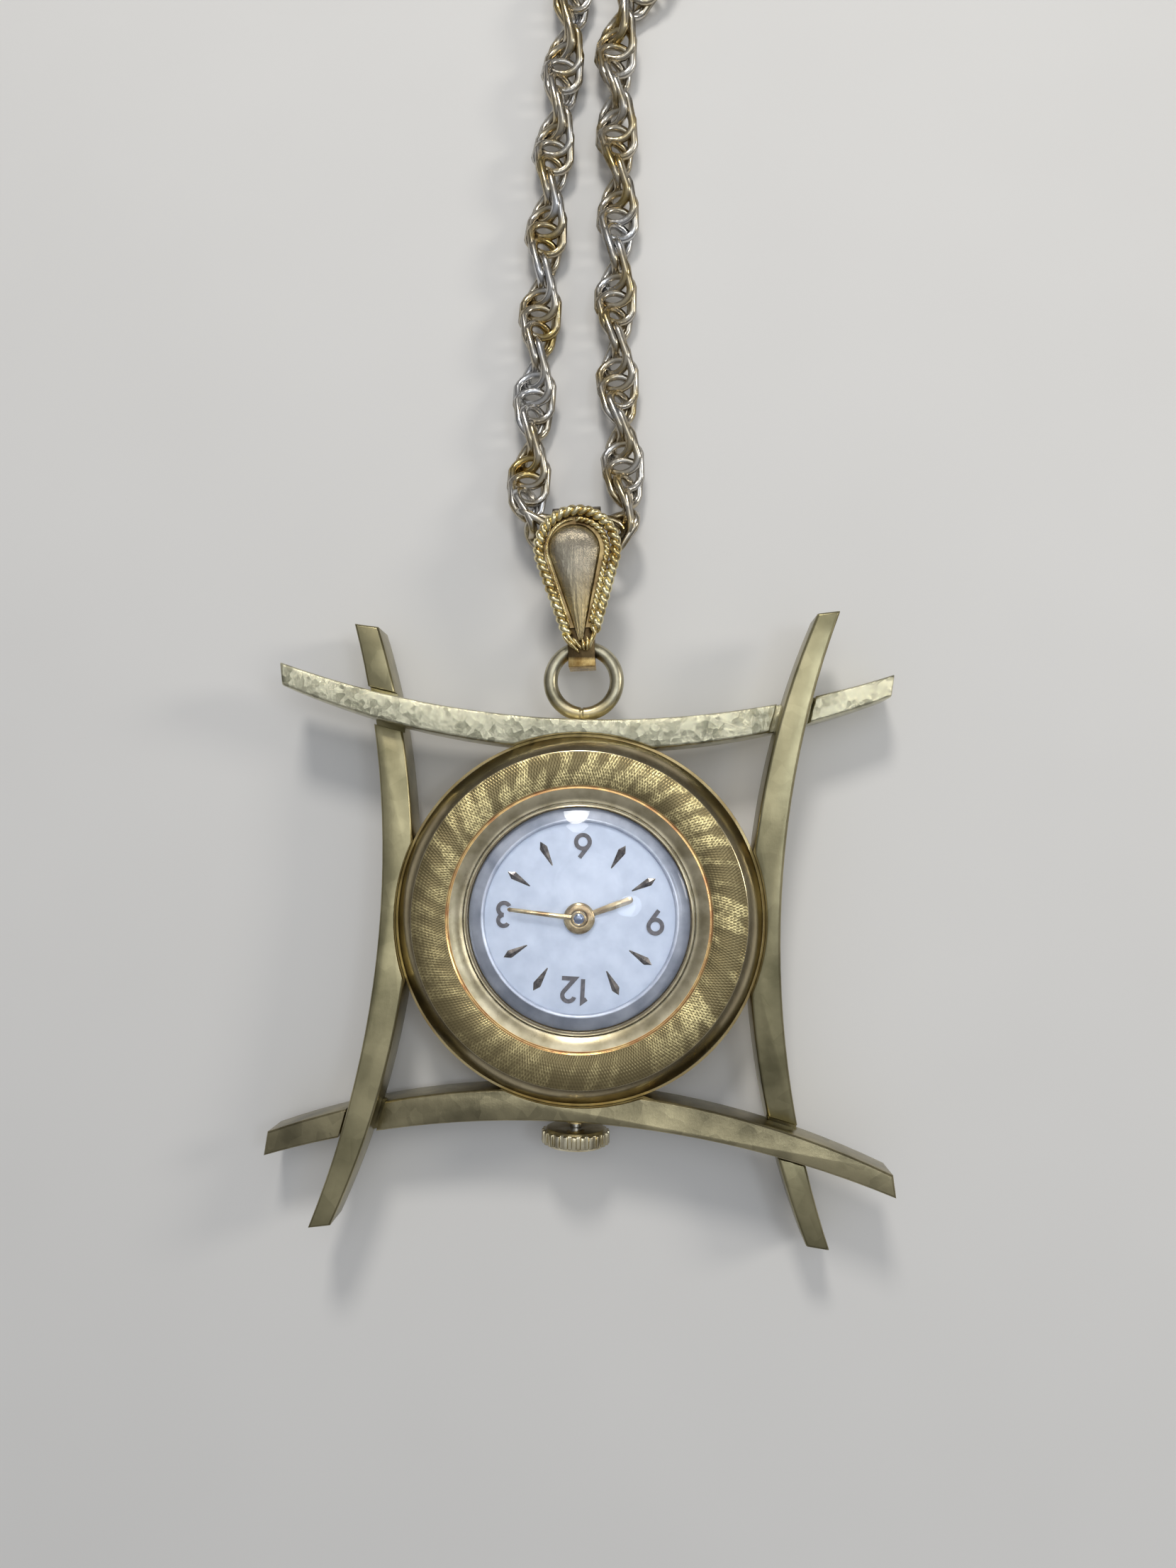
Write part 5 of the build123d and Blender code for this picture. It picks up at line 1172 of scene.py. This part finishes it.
# Domed teardrop: half a rounded cone with shallow ridges running to its tip
dome = {
    "radius": 1.74,
    "tipRadius": 0.2,
    "topV": 6.5,
    "tipV": 0.42,
    "shift": -0.2,
    "low": 0.12,
    "high": 1.05,
    "fullness": 0.6,
    "levels": 14,
    "flankSteps": 26,
    "arcSteps": 48,
    "tipSteps": 12,
    "ridgeDepth": 0.09,
    "ridges": 2.5,
    "ridgeReach": 1.15,
}


def domeOutline():
    # each point as its direction from a circle, and that circle's share of the way up
    lean = math.asin((dome["radius"] - dome["tipRadius"]) / (dome["topV"] - dome["tipV"]))
    flank, arc, tip = dome["flankSteps"], dome["arcSteps"], dome["tipSteps"]
    spots = [(math.pi + lean, index / flank) for index in range(flank)]
    spots += [(math.pi + lean - (math.pi + 2 * lean) * index / arc, 1) for index in range(arc + 1)]
    spots += [(-lean, 1 - index / flank) for index in range(1, flank + 1)]
    spots += [(-lean - (math.pi - 2 * lean) * index / tip, 0) for index in range(1, tip)]
    return spots


def domePiece():
    spots = domeOutline()
    mesh = bmesh.new()
    rows = []
    for level in range(dome["levels"] + 1):
        rise = math.radians(90 * level / dome["levels"])
        row = []
        for angle, share in spots:
            v = dome["tipV"] + (dome["topV"] - dome["tipV"]) * share
            radius = dome["tipRadius"] + (dome["radius"] - dome["tipRadius"]) * share
            reach = radius * math.cos(rise)
            u = reach * math.cos(angle)
            high = dome["high"] * (radius / dome["radius"]) ** dome["fullness"] * math.sin(rise)
            fade = max(0, 1 - share * dome["ridgeReach"]) * math.sin(rise)
            wave = 0.5 - 0.5 * math.cos(2 * math.pi * dome["ridges"] * u / radius)
            high -= dome["ridgeDepth"] * fade * wave
            high = dome["low"] + high * (1 - dome["low"] / dome["high"])
            spot = bailPoint(dome["shift"] * share + u, v + reach * math.sin(angle), bail["front"] + high)
            row.append(mesh.verts.new(spot))
        rows.append(row)
    for low, top in zip(rows, rows[1:]):
        for index in range(len(spots)):
            following = (index + 1) % len(spots)
            mesh.faces.new((low[index], low[following], top[following], top[index]))
    mesh.faces.new(rows[0])
    bmesh.ops.remove_doubles(mesh, verts=mesh.verts, dist=0.001 * mm)
    bmesh.ops.recalc_face_normals(mesh, faces=mesh.faces)
    return meshPiece("bailDome", mesh)


bailDome = domePiece()
domeGilt = wornMetal(
    "domeGilt",
    (0.17, 0.15, 0.12),
    (0.50, 0.45, 0.34),
    {
        "roughness": 0.2,
        "patches": 260,
        "scratches": 420,
        "stretch": 14,
        "turn": 0.06,
        "bump": 1,
        "depth": 0.07,
    },
)
tonedAlong(domeGilt, 23.2, 20.4, (0.46, 0.37, 0.19), 0.75)

# Backing plate between the dome and the ropes
backing = {"inset": 0.8, "low": 0.01, "top": 0.22}


def backingPiece():
    rim = tearLine(backing["inset"])
    mesh = bmesh.new()
    low = [mesh.verts.new(bailPoint(u, v, bail["front"] + backing["low"])) for u, v in rim]
    top = [mesh.verts.new(bailPoint(u, v, bail["front"] + backing["top"])) for u, v in rim]
    for index in range(len(rim)):
        following = (index + 1) % len(rim)
        mesh.faces.new((low[index], low[following], top[following], top[index]))
    mesh.faces.new(top)
    mesh.faces.new(low[::-1])
    bmesh.ops.recalc_face_normals(mesh, faces=mesh.faces)
    return meshPiece("bailBacking", mesh)


bailBacking = backingPiece()
bailBacking.data.materials.append(giltBail)
fitted(bailBacking, "bail", "gilt_bail")
for polygon in bailBacking.data.polygons:
    polygon.use_smooth = False
bailDome.data.materials.append(domeGilt)
fitted(bailDome, "bail", "gilt_bail", "bail_teardrop")

# Folded strap, gilt along its lower edge and darkened above it by painted shade under the ropes, and the
# printed numerals
strapPaintedShadeGilt = wornMetal(
    "strapPaintedShadeGilt",
    (0.34, 0.20, 0.06),
    (0.80, 0.58, 0.24),
    {
        "roughness": 0.24,
        "patches": 1400,
        "scratches": 900,
        "stretch": 6,
        "turn": 0.06,
        "bump": 0.3,
        "depth": 0.02,
    },
)
# painted shade: the strap darkens towards the top, under the ropes and the leaves
tonedAlong(strapPaintedShadeGilt, 17.1, 17.35, (0.06, 0.04, 0.02), 0.95)
softened("bailStrap", "bail_strap", strapPaintedShadeGilt, "bail", bail["edge"], bail["angle"])
softened("dialNumerals", "dial_numerals", numeralPaint, "case", 0, 35)
print("stage: bail")

# Crown, case, back, clasp and end links from their CAD nodes, with edge width and angle
crownGilt = wornMetal(
    "crownGilt",
    (0.50, 0.42, 0.25),
    (0.80, 0.74, 0.55),
    {"roughness": 0.2, "patches": 900, "scratches": 2500, "stretch": 4, "bump": 0.3, "depth": 0.01},
)
for name, node, material, body, width, angle in (
    ("crownKnob", "crown", crownGilt, "crown", 0.04, 30),
    ("caseBody", "case_middle", giltCase, "case", 0.06, 30),
    ("caseBack", "case_back", giltCase, "case", 0.08, 30),
    ("claspRing", "clasp_ring", chainGilt, "chain", 0, 40),
    ("claspTongue", "clasp_tongue", chainGilt, "clasp_tongue", 0.03, 35),
    ("chainEnds", "chain_ends", chainGilt, "chain", 0, 40),
):
    softened(name, node, material, body, width, angle)
print("stage: case and clasp")

# Floor, backdrop light and lamps
bpy.ops.mesh.primitive_plane_add(size=2)
floorObject = bpy.context.object
floorObject.name = "floor"
floorMaterial, floorTree, floorShader = startMaterial("floor", (0.78, 0.77, 0.75), 0, 0.9)
floorObject.data.materials.append(floorMaterial)
floorRamp = addRamp(floorTree, (0.76, 0.75, 0.73), (0.80, 0.79, 0.77), 0, 1)
linkAll(
    floorTree,
    (addNoise(floorTree, {"Scale": 60}), floorRamp.inputs["Fac"]),
    (floorRamp.outputs["Color"], floorShader.inputs["Base Color"]),
)
floorObject.location.z = -0.05 * mm

world = bpy.data.worlds.new("studio")
bpy.context.scene.world = world
world.use_nodes = True
worldTree = world.node_tree
worldShader = worldTree.nodes["Background"]
worldShader.inputs["Strength"].default_value = 1
worldPlace = addNode(worldTree, "ShaderNodeTexCoord")
worldSplit = addNode(worldTree, "ShaderNodeSeparateXYZ")
worldRamp = addRamp(worldTree, (0.05, 0.045, 0.04), (0.42, 0.43, 0.45), 0, 0.95)
linkAll(
    worldTree,
    (worldPlace.outputs["Generated"], worldSplit.inputs["Vector"]),
    (worldSplit.outputs["Z"], worldRamp.inputs["Fac"]),
    (worldRamp.outputs["Color"], worldShader.inputs["Color"]),
)

lamps = (
    ("keyLamp", (-20, 190, 170), 50, 0.2, (1, 0.97, 0.92)),
    ("rightLamp", (210, 60, 120), 60, 0.12, (1, 0.96, 0.88)),
    ("topLamp", (10, 60, 260), 160, 0.08, (0.93, 0.96, 1)),
    ("windowLamp", (85, 15, 200), 40, 0.025, (0.82, 0.9, 1)),
)
for lampName, place, size, power, tint in lamps:
    bpy.ops.object.light_add(type="AREA", location=[value * mm for value in place])
    lamp = bpy.context.object
    lamp.name = lampName
    lamp.data.shape = "DISK"
    lamp.data.size = size * mm
    lamp.data.energy = power
    lamp.data.color = tint
    toWatch = Vector((0, 0, 3 * mm)) - lamp.location
    lamp.rotation_euler = toWatch.to_track_quat("-Z", "Y").to_euler()
print("stage: floor and lamps")
